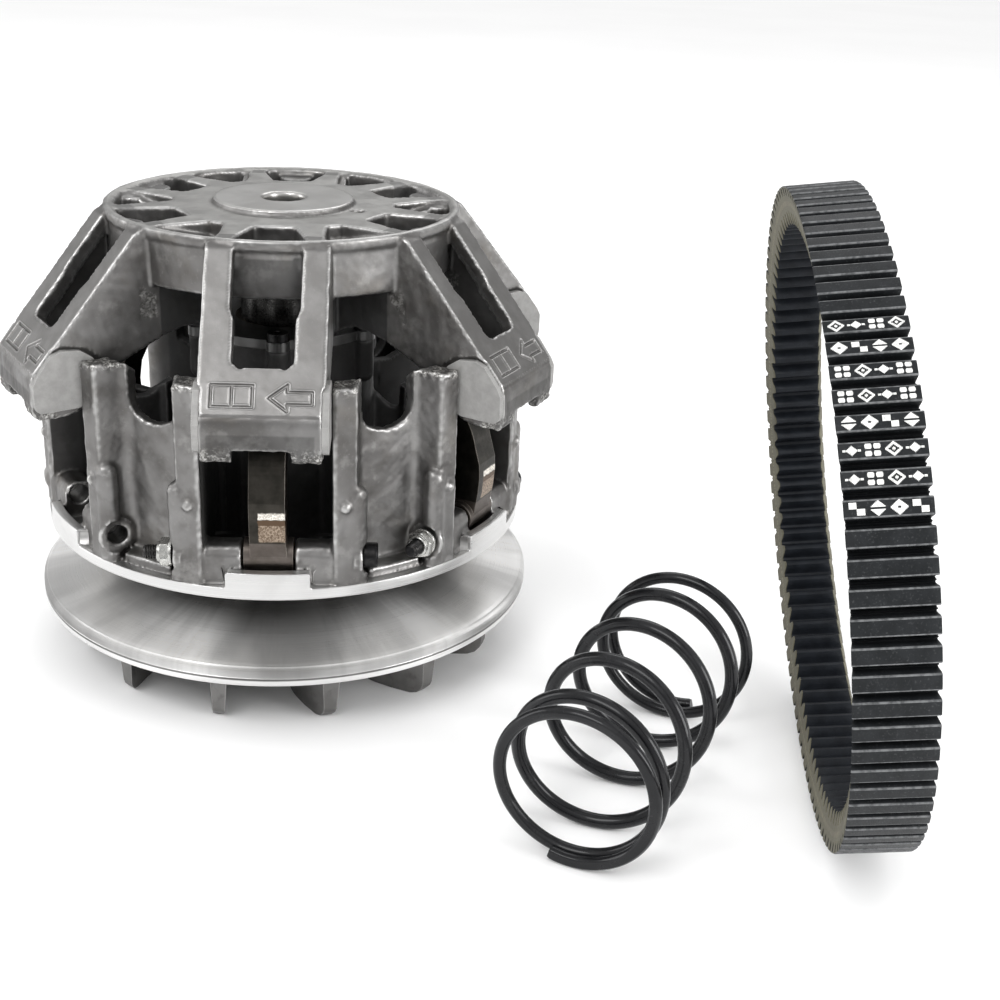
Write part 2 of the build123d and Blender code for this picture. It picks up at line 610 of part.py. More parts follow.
save("return_spring", return_spring())


# ---- belt, standing on its edge ----
def ellipse_points(count):
    """Points spaced evenly along the belt's ellipse."""
    fine = []
    for i in range(N_ELLIPSE):
        a = 2 * math.pi * i / N_ELLIPSE
        fine.append((BELT_A * math.cos(a), BELT_B * math.sin(a)))
    run = [0.0]
    for p, q in zip(fine, fine[1:] + fine[:1]):
        run.append(run[-1] + math.dist(p, q))
    spaced, j = [], 0
    for i in range(count):
        target = run[-1] * (i + 0.5) / count
        while run[j + 1] < target:
            j += 1
        u = (target - run[j]) / (run[j + 1] - run[j])
        p, q = fine[j], fine[(j + 1) % N_ELLIPSE]
        spaced.append((p[0] + u * (q[0] - p[0]), p[1] + u * (q[1] - p[1])))
    return spaced


def inward_normal(p, q):
    length = math.dist(p, q)
    return (-(q[1] - p[1]) / length, (q[0] - p[0]) / length)


def mitred(pts, inset):
    """The closed polygon moved inwards, every side staying parallel to itself."""
    moved = []
    for i, p in enumerate(pts):
        n1 = inward_normal(pts[i - 1], p)
        n2 = inward_normal(p, pts[(i + 1) % len(pts)])
        k = inset / (1 + n1[0] * n2[0] + n1[1] * n2[1])
        moved.append((p[0] + k * (n1[0] + n2[0]), p[1] + k * (n1[1] + n2[1])))
    return moved


def drive_belt():
    yaw, lean = math.radians(BELT_YAW), math.radians(BELT_LEAN)
    along = Vector(math.sin(yaw), math.cos(yaw), 0)
    level = Vector(math.cos(yaw), -math.sin(yaw), 0)
    up = Vector(0, 0, 1) * math.cos(lean) + level * math.sin(lean)
    across = level * math.cos(lean) - Vector(0, 0, 1) * math.sin(lean)
    height = BELT_B * math.cos(lean) + BELT_W / 2 * abs(math.sin(lean))
    centre = Vector(*BELT_C, height)

    def edge(loop, w):
        return [centre + along * p[0] + up * p[1] + across * w for p in loop]

    outer_loop = ellipse_points(N_BELT)
    inner_loop = mitred(outer_loop, BELT_T)
    outer_half = BELT_W / 2
    inner_half = outer_half - BELT_T * FACE_SLOPE
    out_neg, out_pos = edge(outer_loop, -outer_half), edge(outer_loop, outer_half)
    in_neg, in_pos = edge(inner_loop, -inner_half), edge(inner_loop, inner_half)
    faces = []
    for i in range(N_BELT):
        j = (i + 1) % N_BELT
        for quad in ([out_neg[i], out_neg[j], out_pos[j], out_pos[i]],
                     [in_neg[i], in_pos[i], in_pos[j], in_neg[j]],
                     [out_pos[i], out_pos[j], in_pos[j], in_pos[i]],
                     [out_neg[i], in_neg[i], in_neg[j], out_neg[j]]):
            faces.append(Face(Wire.make_polygon(quad, close=True)))
    belt = Solid(Shell(faces))
    # the shell may come out facing inwards
    return -belt if belt.volume < 0 else belt


save("drive_belt", drive_belt())
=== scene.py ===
"""A variable belt pulley, with its return spring and a cogged belt beside it.

The shaft is the Z axis and the floor is z = 0. The fixed sheave is lowest, the sliding sheave
is above it and the governor cup is on top. -Y is the front, where the camera stands. The spring
lies on the floor at the front right and the belt stands on the floor at the right.
Shapes are worked out in millimetres and stored in metres.
"""

import math
from contextlib import contextmanager

import bmesh
import bpy
import numpy as np
from mathutils import Matrix, Vector


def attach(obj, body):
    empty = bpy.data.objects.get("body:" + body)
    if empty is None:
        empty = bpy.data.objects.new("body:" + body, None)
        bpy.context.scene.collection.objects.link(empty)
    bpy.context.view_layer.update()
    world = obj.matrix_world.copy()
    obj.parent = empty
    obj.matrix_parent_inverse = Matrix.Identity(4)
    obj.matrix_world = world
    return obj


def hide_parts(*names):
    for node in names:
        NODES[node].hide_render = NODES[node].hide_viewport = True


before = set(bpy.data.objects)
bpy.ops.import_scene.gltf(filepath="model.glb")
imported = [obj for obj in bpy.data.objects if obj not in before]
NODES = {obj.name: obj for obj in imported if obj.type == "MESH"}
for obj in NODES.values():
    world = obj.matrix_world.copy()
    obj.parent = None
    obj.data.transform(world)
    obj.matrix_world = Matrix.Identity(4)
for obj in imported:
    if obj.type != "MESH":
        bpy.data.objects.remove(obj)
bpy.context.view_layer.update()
SCENE = bpy.context.scene
MM = 0.001
UP = np.array([0, 0, 1.0])

# ---- dimensions shared with the CAD part (mm, degrees) -----------------------------------
FIRST_ARM = 4.2                             # azimuth of arm 0 from -Y; six arms, 60 apart
LOADED_ARMS = (0, 1, 3, 4)                  # bays that hold a pivot bolt
CONE_SLOPE = math.tan(math.radians(11.5))
FIXED_R, FIXED_Z = 109.0, 33.0              # outer edge of the fixed cone face
SLIDING_R, SLIDING_Z = 103.9, 61.1          # outer edge of the sliding cone face
PIVOT_R, PIVOT_Z = 92.0, 76.0
BAY_HALF = 25.0                             # middle of a bay to its side wall
# outer face of a cup arm, as a line in (radius, height)
FACE_R0, FACE_Z0 = 73.8, 193.2
FACE_R1, FACE_Z1 = 117.6, 141.0
FACE_LENGTH = math.hypot(FACE_R1 - FACE_R0, FACE_Z1 - FACE_Z0)
DOWN_R, DOWN_Z = (FACE_R1 - FACE_R0) / FACE_LENGTH, (FACE_Z1 - FACE_Z0) / FACE_LENGTH
NORMAL_R, NORMAL_Z = -DOWN_Z, DOWN_R


def outward(azimuth):
    return np.array([math.sin(azimuth), -math.cos(azimuth), 0.0])


def sideways(azimuth):
    return np.array([math.cos(azimuth), math.sin(azimuth), 0.0])


AZIMUTHS = [math.radians(FIRST_ARM + 60.0 * k) for k in range(6)]
ARMS = [(sideways(azimuth), outward(azimuth)) for azimuth in AZIMUTHS]


def cone_height(radius):
    """Height of the sliding sheave's cone face, which looks down."""
    return SLIDING_Z - (SLIDING_R - radius) * CONE_SLOPE


# ---- fields over points ------------------------------------------------------------------
def smoothstep(start, end, x):
    t = np.clip((x - start) / (end - start), 0.0, 1.0)
    return t * t * (3 - 2 * t)


def between(x, low, high):
    return (x > low) & (x < high)


def near(x, target, reach):
    return np.abs(x - target) < reach


def raise_to(field, where, value):
    return np.maximum(field, np.where(where, value, 0))


def lumps(points, wave, count=18, seed=1):
    """Smooth noise, mostly within -1..1, at about the given wavelength (mm)."""
    rng = np.random.default_rng(seed)
    heading = rng.normal(size=(count, 3))
    heading /= np.linalg.norm(heading, axis=1)[:, None]
    pace = 2 * math.pi / (wave * rng.uniform(0.6, 1.7, count))
    phase = rng.uniform(0, 6.28, count)
    return np.sin((points @ heading.T) * pace + phase).sum(1) / math.sqrt(count)


# ---- mesh helpers ------------------------------------------------------------------------
def add_object(name, mesh):
    obj = bpy.data.objects.new(name, mesh)
    SCENE.collection.objects.link(obj)
    return obj


@contextmanager
def editing(mesh):
    bm = bmesh.new()
    bm.from_mesh(mesh)
    yield bm
    bm.to_mesh(mesh)
    bm.free()


def place(points, origin, *axes):
    """Local points (mm) set on three axes at an origin, in metres."""
    first, second, third = axes
    return (origin + points[..., :1] * first + points[..., 1:2] * second
            + points[..., 2:3] * third) * MM


def grid_mesh(name, points, closed=False):
    """Quads through points[row, column] (m). Each row is a ring; open ends are capped."""
    rows, columns = points.shape[:2]
    i, j = np.meshgrid(np.arange(rows if closed else rows - 1), np.arange(columns), indexing="ij")
    i1, j1 = (i + 1) % rows, (j + 1) % columns
    quads = np.stack([i * columns + j, i1 * columns + j, i1 * columns + j1, i * columns + j1], -1)
    faces = quads.reshape(-1, 4).tolist()
    if not closed:
        faces.append([(rows - 1) * columns + k for k in range(columns)])
        faces.append(list(range(columns))[::-1])
    mesh = bpy.data.meshes.new(name)
    mesh.from_pydata(points.reshape(-1, 3).tolist(), [], faces)
    mesh.shade_smooth()
    mesh.update()
    return mesh


def weld(mesh):
    with editing(mesh) as bm:
        bmesh.ops.remove_doubles(bm, verts=bm.verts[:], dist=1e-7)
        bmesh.ops.recalc_face_normals(bm, faces=bm.faces[:])


def smooth(mesh, sharp):
    """Smooth shading, broken where faces meet at more than `sharp` degrees."""
    mesh.shade_smooth()
    mesh.set_sharp_from_angle(angle=math.radians(sharp))


def join_meshes(name, meshes):
    bm = bmesh.new()
    for mesh in meshes:
        bm.from_mesh(mesh)
        bpy.data.meshes.remove(mesh)
    bmesh.ops.recalc_face_normals(bm, faces=bm.faces[:])
    joined = bpy.data.meshes.new(name)
    bm.to_mesh(joined)
    bm.free()
    smooth(joined, sharp=32)
    return joined


def get_points(mesh):
    points = np.empty(len(mesh.vertices) * 3)
    mesh.vertices.foreach_get("co", points)
    return points.reshape(-1, 3) / MM


def set_points(mesh, points):
    mesh.vertices.foreach_set("co", (points * MM).astype(np.float32).ravel())
    mesh.update()


def get_normals(mesh):
    normals = np.empty(len(mesh.vertices) * 3, np.float32)
    mesh.vertex_normals.foreach_get("vector", normals)
    return normals.reshape(-1, 3).astype(float)


def set_attributes(mesh, **fields):
    for name, values in fields.items():
        attribute = mesh.attributes.new(name, "FLOAT", "POINT")
        attribute.data.foreach_set("value", np.asarray(values, np.float32))


# ---- castings ----------------------------------------------------------------------------
VOXEL = 0.85


def voxel_object(node, name):
    """A remeshed copy of a CAD piece."""
    source = NODES[node].data.copy()
    source.materials.clear()
    with editing(source) as bm:
        bmesh.ops.remove_doubles(bm, verts=bm.verts[:], dist=2e-6)
    # the front and back arms lie along the voxel grid
    source.transform(Matrix.Rotation(-math.radians(FIRST_ARM), 4, "Z"))
    obj = add_object(name, source)
    remesh = obj.modifiers.new("remesh", "REMESH")
    remesh.mode = "VOXEL"
    remesh.voxel_size = VOXEL * MM
    remesh.adaptivity = 0.0
    remesh.use_smooth_shade = True
    depsgraph = bpy.context.evaluated_depsgraph_get()
    mesh = bpy.data.meshes.new_from_object(obj.evaluated_get(depsgraph), depsgraph=depsgraph)
    obj.modifiers.clear()
    mesh.transform(Matrix.Rotation(math.radians(FIRST_ARM), 4, "Z"))
    obj.data = mesh
    mesh.name = name
    bpy.data.meshes.remove(source)
    return obj


def relaxed_points(mesh, pairs=5, shrink=0.5, swell=-0.52):
    """The mesh's points, smoothed in pairs of steps that keep the volume."""
    points = get_points(mesh)
    edges = np.empty(len(mesh.edges) * 2, np.int32)
    mesh.edges.foreach_get("vertices", edges)
    edges = edges.reshape(-1, 2)
    count = len(points)
    degree = np.bincount(edges.ravel(), minlength=count).astype(float)
    for factor in (shrink, swell) * pairs:
        total = np.empty_like(points)
        for c in range(3):
            total[:, c] = (np.bincount(edges[:, 0], points[edges[:, 1], c], count)
                           + np.bincount(edges[:, 1], points[edges[:, 0], c], count))
        points = points + factor * (total / degree[:, None] - points)
    return points


def cast_skin(points, normals, amount, raw, seed, skin, rough, sink):
    """Push points along their normals: lumps on the skin, a sunk coarse grain on raw places.

    skin is (broad wave, broad height, fine height), rough is (wave, height), all in mm.
    """
    broad_wave, broad, fine = skin
    raw_wave, raw_height = rough
    noise = (broad * lumps(points, broad_wave, seed=seed)
             + fine * lumps(points, 3.6, count=30, seed=seed + 1))
    grain = raw_height * lumps(points, raw_wave, count=30, seed=seed + 2) * raw
    return points + normals * ((noise * amount) * (1 - raw) + grain - sink * raw)[:, None]


# ---- governor cup ------------------------------------------------------------------------
CUP_TOP, SEAT_TOP = 195.2, 197.6
# outlines cut into each arm's face: (across the arm, down the face), mm
ARROW = [(2.9, 59.2), (9.5, 54.1), (9.5, 56.8), (18.5, 56.8), (18.5, 61.6), (9.5, 61.6),
         (9.5, 64.3)]
RECTANGLE = [(-18.1, 54.5), (-3.1, 54.5), (-3.1, 62.9), (-18.1, 62.9)]
DIVIDER = [(-10.6, 54.5), (-10.6, 62.9)]


def arm_frame(points, arm):
    """Place about an arm's outer face: across, radial reach, down the face, height above it."""
    side, out = arm
    across, reach, z = points @ side, points @ out, points[:, 2]
    along = (reach - FACE_R0) * DOWN_R + (z - FACE_Z0) * DOWN_Z
    proud = (reach - FACE_R0) * NORMAL_R + (z - FACE_Z0) * NORMAL_Z
    return across, reach, along, proud, out * NORMAL_R + np.array([0, 0, NORMAL_Z])


def segment_distance(across, along, start, end):
    (x0, y0), (x1, y1) = start, end
    dx, dy = x1 - x0, y1 - y0
    u = np.clip(((across - x0) * dx + (along - y0) * dy) / (dx * dx + dy * dy), 0, 1)
    return np.hypot(across - x0 - u * dx, along - y0 - u * dy)


def mark_depth(across, along):
    """Height of the cut marks: a groove with a low ridge beside it."""
    distance = np.full(across.shape, 99.0)
    for loop in (ARROW, RECTANGLE, DIVIDER):
        for start, end in zip(loop, loop[1:] + loop[:1]):
            distance = np.minimum(distance, segment_distance(across, along, start, end))
    ridge = 0.12 * np.exp(-((distance - 0.95) / 0.22) ** 2)
    return ridge - 0.7 * (1 - smoothstep(0.28, 0.68, distance))


def flatten_cup(points):
    for arm in ARMS:
        # the whole outer face of the arm is flat, the marks are cut again later
        across, _, along, proud, normal = arm_frame(points, arm)
        face = (np.abs(across) < 22.6) & between(along, 5, 66.6) & (np.abs(proud) < 0.16)
        face |= (np.abs(across) < 22.0) & between(along, 50.2, 66.4) & (np.abs(proud) < 1.4)
        points[face] -= proud[face][:, None] * normal
    radius, z = np.hypot(points[:, 0], points[:, 1]), points[:, 2]
    points[near(z, CUP_TOP, 0.15) & between(radius, 31.0, 70.2), 2] = CUP_TOP
    points[near(z, SEAT_TOP, 0.2) & between(radius, 9.8, 28.6), 2] = SEAT_TOP


def refine_marks(mesh, points):
    """Divide the mesh where the marks are cut."""
    picked = np.zeros(len(points), bool)
    for arm in ARMS:
        across, _, along, proud, _ = arm_frame(points, arm)
        picked |= (np.abs(across) < 20.4) & between(along, 52.2, 65.8) & (np.abs(proud) < 0.05)
    with editing(mesh) as bm:
        bm.verts.ensure_lookup_table()
        edges = [e for e in bm.edges if picked[e.verts[0].index] and picked[e.verts[1].index]]
        bmesh.ops.subdivide_edges(bm, edges=edges, cuts=3, use_grid_fill=True)


def build_cup():
    obj = voxel_object("governor_cup", "governor_cup_casting")
    mesh = obj.data
    points = relaxed_points(mesh)
    flatten_cup(points)
    set_points(mesh, points)
    refine_marks(mesh, points)
    points = get_points(mesh)
    mesh.update()
    normals = get_normals(mesh)
    radius, z = np.hypot(points[:, 0], points[:, 1]), points[:, 2]
    turned = ((z > 197.2) & (radius < 29.6)) | ((radius < 18.0) & (z > 171.5))
    raw, dark, flat = np.zeros((3, len(points)))
    skirt = between(radius, 70.5, 76.5) & between(z, 160, 176)
    skirt &= np.hypot(normals[:, 0], normals[:, 1]) > 0.7
    patches = smoothstep(0.25, 0.6, lumps(points, 16.0, seed=31))
    raw = raise_to(raw, skirt, 0.5 * smoothstep(176, 168, z) * patches)
    for arm in ARMS:
        across, reach, along, proud, normal = arm_frame(points, arm)
        z = points[:, 2].copy()
        width = np.abs(across)
        on_arm = (width < 24.2) & (reach > 60)
        tip = on_arm & (z < 131.5) & (reach > 108.5)
        raw = raise_to(raw, tip, smoothstep(131.0, 127.0, z))
        marked = (width < 20.6) & between(along, 52.0, 66.0) & (np.abs(proud) < 0.05)
        points[marked] += mark_depth(across[marked], along[marked])[:, None] * normal
        face = (width < 23) & between(along, 0, 67) & (np.abs(proud) < 0.9)
        flat = raise_to(flat, face, 1.0)
        # painted shade under the arm tips and in the channels behind the arm faces
        under_tip = (on_arm & (points[:, 2] < 140) & (proud > -14) & (normals[:, 2] < 0.35)
                     & (reach > 100))
        dark = raise_to(dark, under_tip, 0.22)
        channel = (width < 19.6) & (reach > 60) & (proud < -4.0)
        dark = raise_to(dark, channel, 0.5)
    radius, z = np.hypot(points[:, 0], points[:, 1]), points[:, 2]
    # painted shade inside the cup and in its pockets
    dark = raise_to(dark, (radius < 68.8) & (z < 183.5), smoothstep(183.5, 178, z) * 0.85)
    pocket = (radius < 70.5) & between(z, 183, 193.5)
    dark = raise_to(dark, pocket, smoothstep(193.5, 185.0, z) * 0.35)
    # painted light: up-facing tops are marked for a lighter colour
    top = np.where((normals[:, 2] > 0.8) & (z > 194.4), 1.0, 0.0)
    amount = np.where(turned | (flat > 0), 0.0, 1.0)
    amount = np.where((normals[:, 2] > 0.9) & (z > 194.6), 0.25, amount)
    amount = amount + np.where(flat > 0, 0.22, 0)
    set_points(mesh, cast_skin(points, normals, amount, raw, seed=3, skin=(9.0, 0.09, 0.045),
                               rough=(2.6, 0.22), sink=0.12))
    set_attributes(mesh, mach=turned * 1.0, raw=raw, dark=dark, face=flat, top=top)
    mesh.shade_smooth()
    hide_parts("governor_cup")
    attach(obj, "fixed_half")
    return obj


# ---- sliding sheave ----------------------------------------------------------------------
RIM_TOP, TAB_TOP = 65.7, 72.4
TAB_CORNER = 1.15                   # radius of a tab's upper corners
TAB_HALF = 16.45
TAB_FLAT = 15.3                     # half width of the tab's level top


def rim_top(across):
    """Height of the rim's upper edge at a distance from the middle of a bay."""
    width = np.abs(across)
    z = np.where(width < TAB_FLAT, TAB_TOP, RIM_TOP)
    corner = np.sqrt(np.maximum(TAB_CORNER ** 2 - (width - TAB_FLAT) ** 2, 0))
    return np.where((width >= TAB_FLAT) & (width < TAB_HALF), 71.25 + corner, z)


def true_sheave(points):
    radius = np.hypot(points[:, 0], points[:, 1])
    z = points[:, 2].copy()
    # cone face on its exact line
    line = cone_height(radius)
    cone = near(z, line, 0.7) & between(radius, 34.5, 103.2)
    points[cone, 2] = line[cone]
    # flat bay walls, and each point's distance from the middle of its nearest bay
    across_bay = np.full(len(points), 99.0)
    best = np.full(len(points), -1e9)
    for side, out in ARMS:
        across, reach = points @ side, points @ out
        across_bay = np.where(reach > best, across, across_bay)
        best = np.maximum(best, reach)
        wall = near(np.abs(across), BAY_HALF, 0.18) & (reach > 60) & between(z, 64, 146)
        points += np.where(wall, BAY_HALF * np.sign(across) - across, 0)[:, None] * side
    # stay just inside the separately built bright rim
    radius = np.hypot(points[:, 0], points[:, 1])
    z = points[:, 2]
    width = np.abs(across_bay)
    zone = (radius > 99.5) & (z > 59.5) & ((z < 66.2) | ((width < 17.4) & (z < 73.5)))
    limit = np.minimum(rim_top(across_bay) - 0.35, np.where(width < 16.0, 72.0, 65.4))
    new_z = np.where(zone, np.minimum(z, limit), z)
    new_z = np.where(zone, np.maximum(new_z, cone_height(radius) + 0.3), new_z)
    new_radius = np.where(zone, np.minimum(radius, 103.5), radius)
    new_radius = np.where(zone & (new_z > 66.4), np.maximum(new_radius, 100.25), new_radius)
    tab_side = zone & (new_z > 65.9) & between(width, 15.9, 17.4)
    points[:, :2] *= (new_radius / np.maximum(radius, 1e-6))[:, None]
    points[:, 2] = new_z
    for side, out in ARMS:
        across, reach = points @ side, points @ out
        shift = np.where(tab_side & (reach > 60), np.sign(across) * 15.9 - across, 0)
        points += shift[:, None] * side


def build_sheave():
    obj = voxel_object("sliding_sheave", "sliding_sheave_casting")
    mesh = obj.data
    points = relaxed_points(mesh)
    true_sheave(points)
    set_points(mesh, points)
    normals = get_normals(mesh)
    radius = np.hypot(points[:, 0], points[:, 1])
    z = points[:, 2]
    turned = (z < cone_height(radius) + 0.6) & (radius > 33) & (normals[:, 2] < -0.5)
    turned |= between(radius, 21, 33.8)
    raw, dark = np.zeros((2, len(points)))
    flat = np.zeros(len(points), bool)
    for side, out in ARMS:
        width, reach = np.abs(points @ side), points @ out
        tower = between(width, 24.0, 36) & between(reach, 84, 104)
        raw = raise_to(raw, tower, smoothstep(143.6, 146.0, z))
        wall = near(width, BAY_HALF, 0.3) & (reach > 60)
        flat |= wall
        # painted shade inside the bays and on their inner walls
        bay = (width < 30.5) & between(reach, 36, 90.5)
        dark = raise_to(dark, bay, 0.9 * smoothstep(91.5, 84.0, reach))
        dark = raise_to(dark, wall & (reach <= 97), 0.75 * smoothstep(100.0, 88.0, reach))
    # painted shade over the inner part of the sheave, inside about 87 mm
    dark = raise_to(dark, between(radius, 37, 86.9), 0.85 * smoothstep(87.2, 84.5, radius))
    # painted light: up-facing tops near the rim are marked for a lighter colour
    top = np.where((normals[:, 2] > 0.8) & (z < 73) & (radius > 87.5), 0.9, 0.0)
    amount = np.where(turned | flat, 0.0, 1.0)
    set_points(mesh, cast_skin(points, normals, amount, raw, seed=13, skin=(10.0, 0.12, 0.05),
                               rough=(2.4, 0.2), sink=0.1))
    set_attributes(mesh, mach=turned * 1.0, raw=raw, dark=dark, face=np.zeros(len(points)), top=top)
    mesh.shade_smooth()
    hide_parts("sliding_sheave")
    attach(obj, "sliding_half")
    return obj


# one end of a tab, from the plain rim inwards: (distance from the bay's middle, top height)
TAB_END = [(17.9, RIM_TOP), (17.3, 65.76), (16.85, 65.95), (16.55, 66.3), (TAB_HALF, 66.9),
           (TAB_HALF, 71.25), (16.36, 71.7), (16.1, 72.1), (15.7, 72.32), (TAB_FLAT, TAB_TOP)]


def rim_section(top, tab):
    """Closed section of the rim as (radius, height)."""
    inner = 99.9 if tab else 99.3
    cone = [cone_height(radius) - 0.004 for radius in (100.4, 103.4, 103.72, SLIDING_R)]
    return [(100.4, cone[0]), (103.4, cone[1]), (103.72, cone[2] + 0.08),
            (SLIDING_R, cone[3] + 0.38), (SLIDING_R, top - 0.42), (103.8, top - 0.12),
            (103.5, top), (inner + 0.3, top), (inner, top - 0.3), (inner, 65.0)]


def build_rim():
    """The turned rim of the sliding sheave with its six driving tabs."""
    left = [(-across, z, z > 66.0) for across, z in TAB_END]
    middle = [(across, TAB_TOP, True) for across in np.linspace(-15.0, 15.0, 31)]
    right = [(-across, z, tab) for across, z, tab in left[::-1]]
    plain = rim_section(RIM_TOP, False)
    steps = 48
    rows = []
    for azimuth, (side, out) in zip(AZIMUTHS, ARMS):
        for across, top, tab in left + middle + right:
            rows.append([side * across + out * math.sqrt(radius * radius - across * across)
                         + np.array([0, 0, z]) for radius, z in rim_section(top, tab)])
        # the plain part up to the next bay, by azimuth
        for i in range(1, steps):
            row = []
            for radius, z in plain:
                tab_angle = math.asin(TAB_END[0][0] / radius)
                turn = tab_angle + (math.radians(60) - 2 * tab_angle) * (i / steps)
                row.append(outward(azimuth + turn) * radius + np.array([0, 0, z]))
            rows.append(row)
    mesh = grid_mesh("sheave_rim", np.array(rows) * MM, closed=True)
    weld(mesh)
    smooth(mesh, sharp=28)
    obj = add_object("sheave_rim", mesh)
    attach(obj, "sliding_half")
    return obj


# ---- bolts and nuts ----------------------------------------------------------------------
# Both are rings about the bolt's axis: (place along the axis, radius), mm. A radius may be a
# function of the angle. The axis crosses the bay; the nut is at the negative end.
THREAD_START, THREAD_END, THREAD_PITCH = -48.7, -40.0, 1.0
SOCKET_FLATS, NUT_FLATS = 5.0, 9.98


def hexagon(flats, extra=0.0, limit=math.inf):
    """Radius of a hexagon by angle, cut off at the limit."""
    def radius(angle):
        turn = (angle + math.pi / 6) % (math.pi / 3) - math.pi / 6
        return np.minimum(flats / 2 / np.cos(turn), limit) + extra
    return radius


def thread(t):
    end = min(1.0, max(0.0, (t - THREAD_START) / 0.8))

    def radius(angle):
        phase = (t / THREAD_PITCH + angle / (2 * math.pi)) % 1.0
        ridge = np.clip(np.abs(phase - 0.5) * 2 * 1.25, 0, 1)
        return (2.98 - 0.46 * (1 - ridge)) * (0.86 + 0.14 * end)
    return radius


def nut_body(t):
    """Hexagon with its corners rounded off towards both ends."""
    corner = min(5.75, 5.15 + abs(t + 42.35) * 1.25, 5.3 + abs(t + 38.9) * 1.6)
    return hexagon(NUT_FLATS, limit=corner)


BOLT_ROWS = [
    (-48.98, 0.4), (-48.95, 2.2),
    *((t, thread(t)) for t in np.arange(THREAD_START, THREAD_END, 0.125)),
    (-39.9, 2.97), (37.0, 2.97), (37.1, 4.85), (37.25, 5.05), (37.45, 5.1),
    *((t, 5.1) for t in np.linspace(37.8, 41.6, 12)),
    (42.0, 5.02), (42.35, 4.8), (42.55, 4.5), (42.6, 4.2),
    (42.6, hexagon(SOCKET_FLATS, 0.14)), (42.5, hexagon(SOCKET_FLATS, 0.04)),
    (42.35, hexagon(SOCKET_FLATS)), (39.6, hexagon(SOCKET_FLATS)), (39.35, 2.2), (38.6, 0.3)]
NUT_ROWS = [
    (-38.35, 3.03), (-37.62, 3.1), (-37.6, 5.3), (-37.75, 5.55), (-38.6, 5.58), (-38.8, 5.4),
    *((t, nut_body(t)) for t in (-38.85, -39.05, -39.25, -39.5, -40.2, -41.0, -41.6, -41.85,
                                 -42.05, -42.25)),
    (-42.3, 4.75), (-42.32, 4.4), (-42.9, 4.28), (-43.3, 4.15), (-43.55, 3.85), (-43.58, 3.4),
    (-43.3, 3.03)]


def ring_mesh(name, arm, rows, segments, turn):
    angle = np.arange(segments) * 2 * math.pi / segments
    points = np.zeros((len(rows), segments, 3))
    for i, (t, radius) in enumerate(rows):
        if callable(radius):
            radius = radius(angle)
        points[i, :, 0] = t
        points[i, :, 1] = radius * np.cos(angle + turn)
        points[i, :, 2] = radius * np.sin(angle + turn)
    side, out = arm
    pivot = out * PIVOT_R + np.array([0, 0, PIVOT_Z])
    return grid_mesh(name, place(points, pivot, side, out, UP))


def build_bolts():
    bolts, nuts = [], []
    for i, k in enumerate(LOADED_ARMS):
        turn = 0.35 + 0.8 * i
        bolts.append(ring_mesh("bolt", ARMS[k], BOLT_ROWS, segments=48, turn=turn))
        nuts.append(ring_mesh("nut", ARMS[k], NUT_ROWS, segments=96, turn=turn * 0.5 + 0.26))
    bolt_set = add_object("pivot_bolt_set", join_meshes("pivot_bolt_set", bolts))
    nut_set = add_object("pivot_nut_set", join_meshes("pivot_nut_set", nuts))
    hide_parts("pivot_bolts")
    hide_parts("pivot_nuts")
    for obj, slot in ((bolt_set, "black_steel"), (nut_set, "zinc_steel")):
        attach(obj, "sliding_half")
    return bolt_set, nut_set


# ---- spring ------------------------------------------------------------------------------
COIL_R, WIRE = 29.9, 4.8                    # radius to the wire's middle, wire thickness
SPRING_LENGTH = 122.0                       # between the middles of the end coils
END_GRIND = 1.75                            # wire left beyond those middles
SPRING_AZIMUTH = math.radians(66.9)         # from +X
SPRING_START = np.array([127.2, -179.5, COIL_R + WIRE / 2])
# (angle round the coil in degrees, advance along the axis)
ADVANCE = np.array([(-105, 0.0), (60, 0.3), (270, 5.3), (450, 12.6), (630, 26.0), (810, 42.0),
                    (1170, 73.0), (1530, 102.0), (1710, 113.6), (1890, 119.2),
                    (2085, SPRING_LENGTH)])


def advance(angles):
    """Smooth rising curve through the ADVANCE stations."""
    stations, values = ADVANCE.T
    span = np.diff(stations)
    slope = np.diff(values) / span
    inner = 2 * slope[:-1] * slope[1:] / (slope[:-1] + slope[1:])
    tangent = np.concatenate([slope[:1], inner, slope[-1:]])
    i = np.clip(np.searchsorted(stations, angles) - 1, 0, len(span) - 1)
    u = (angles - stations[i]) / span[i]
    return (values[i] * (2 * u ** 3 - 3 * u ** 2 + 1)
            + span[i] * tangent[i] * (u ** 3 - 2 * u ** 2 + u)
            + values[i + 1] * (3 * u ** 2 - 2 * u ** 3)
            + span[i] * tangent[i + 1] * (u ** 3 - u ** 2))


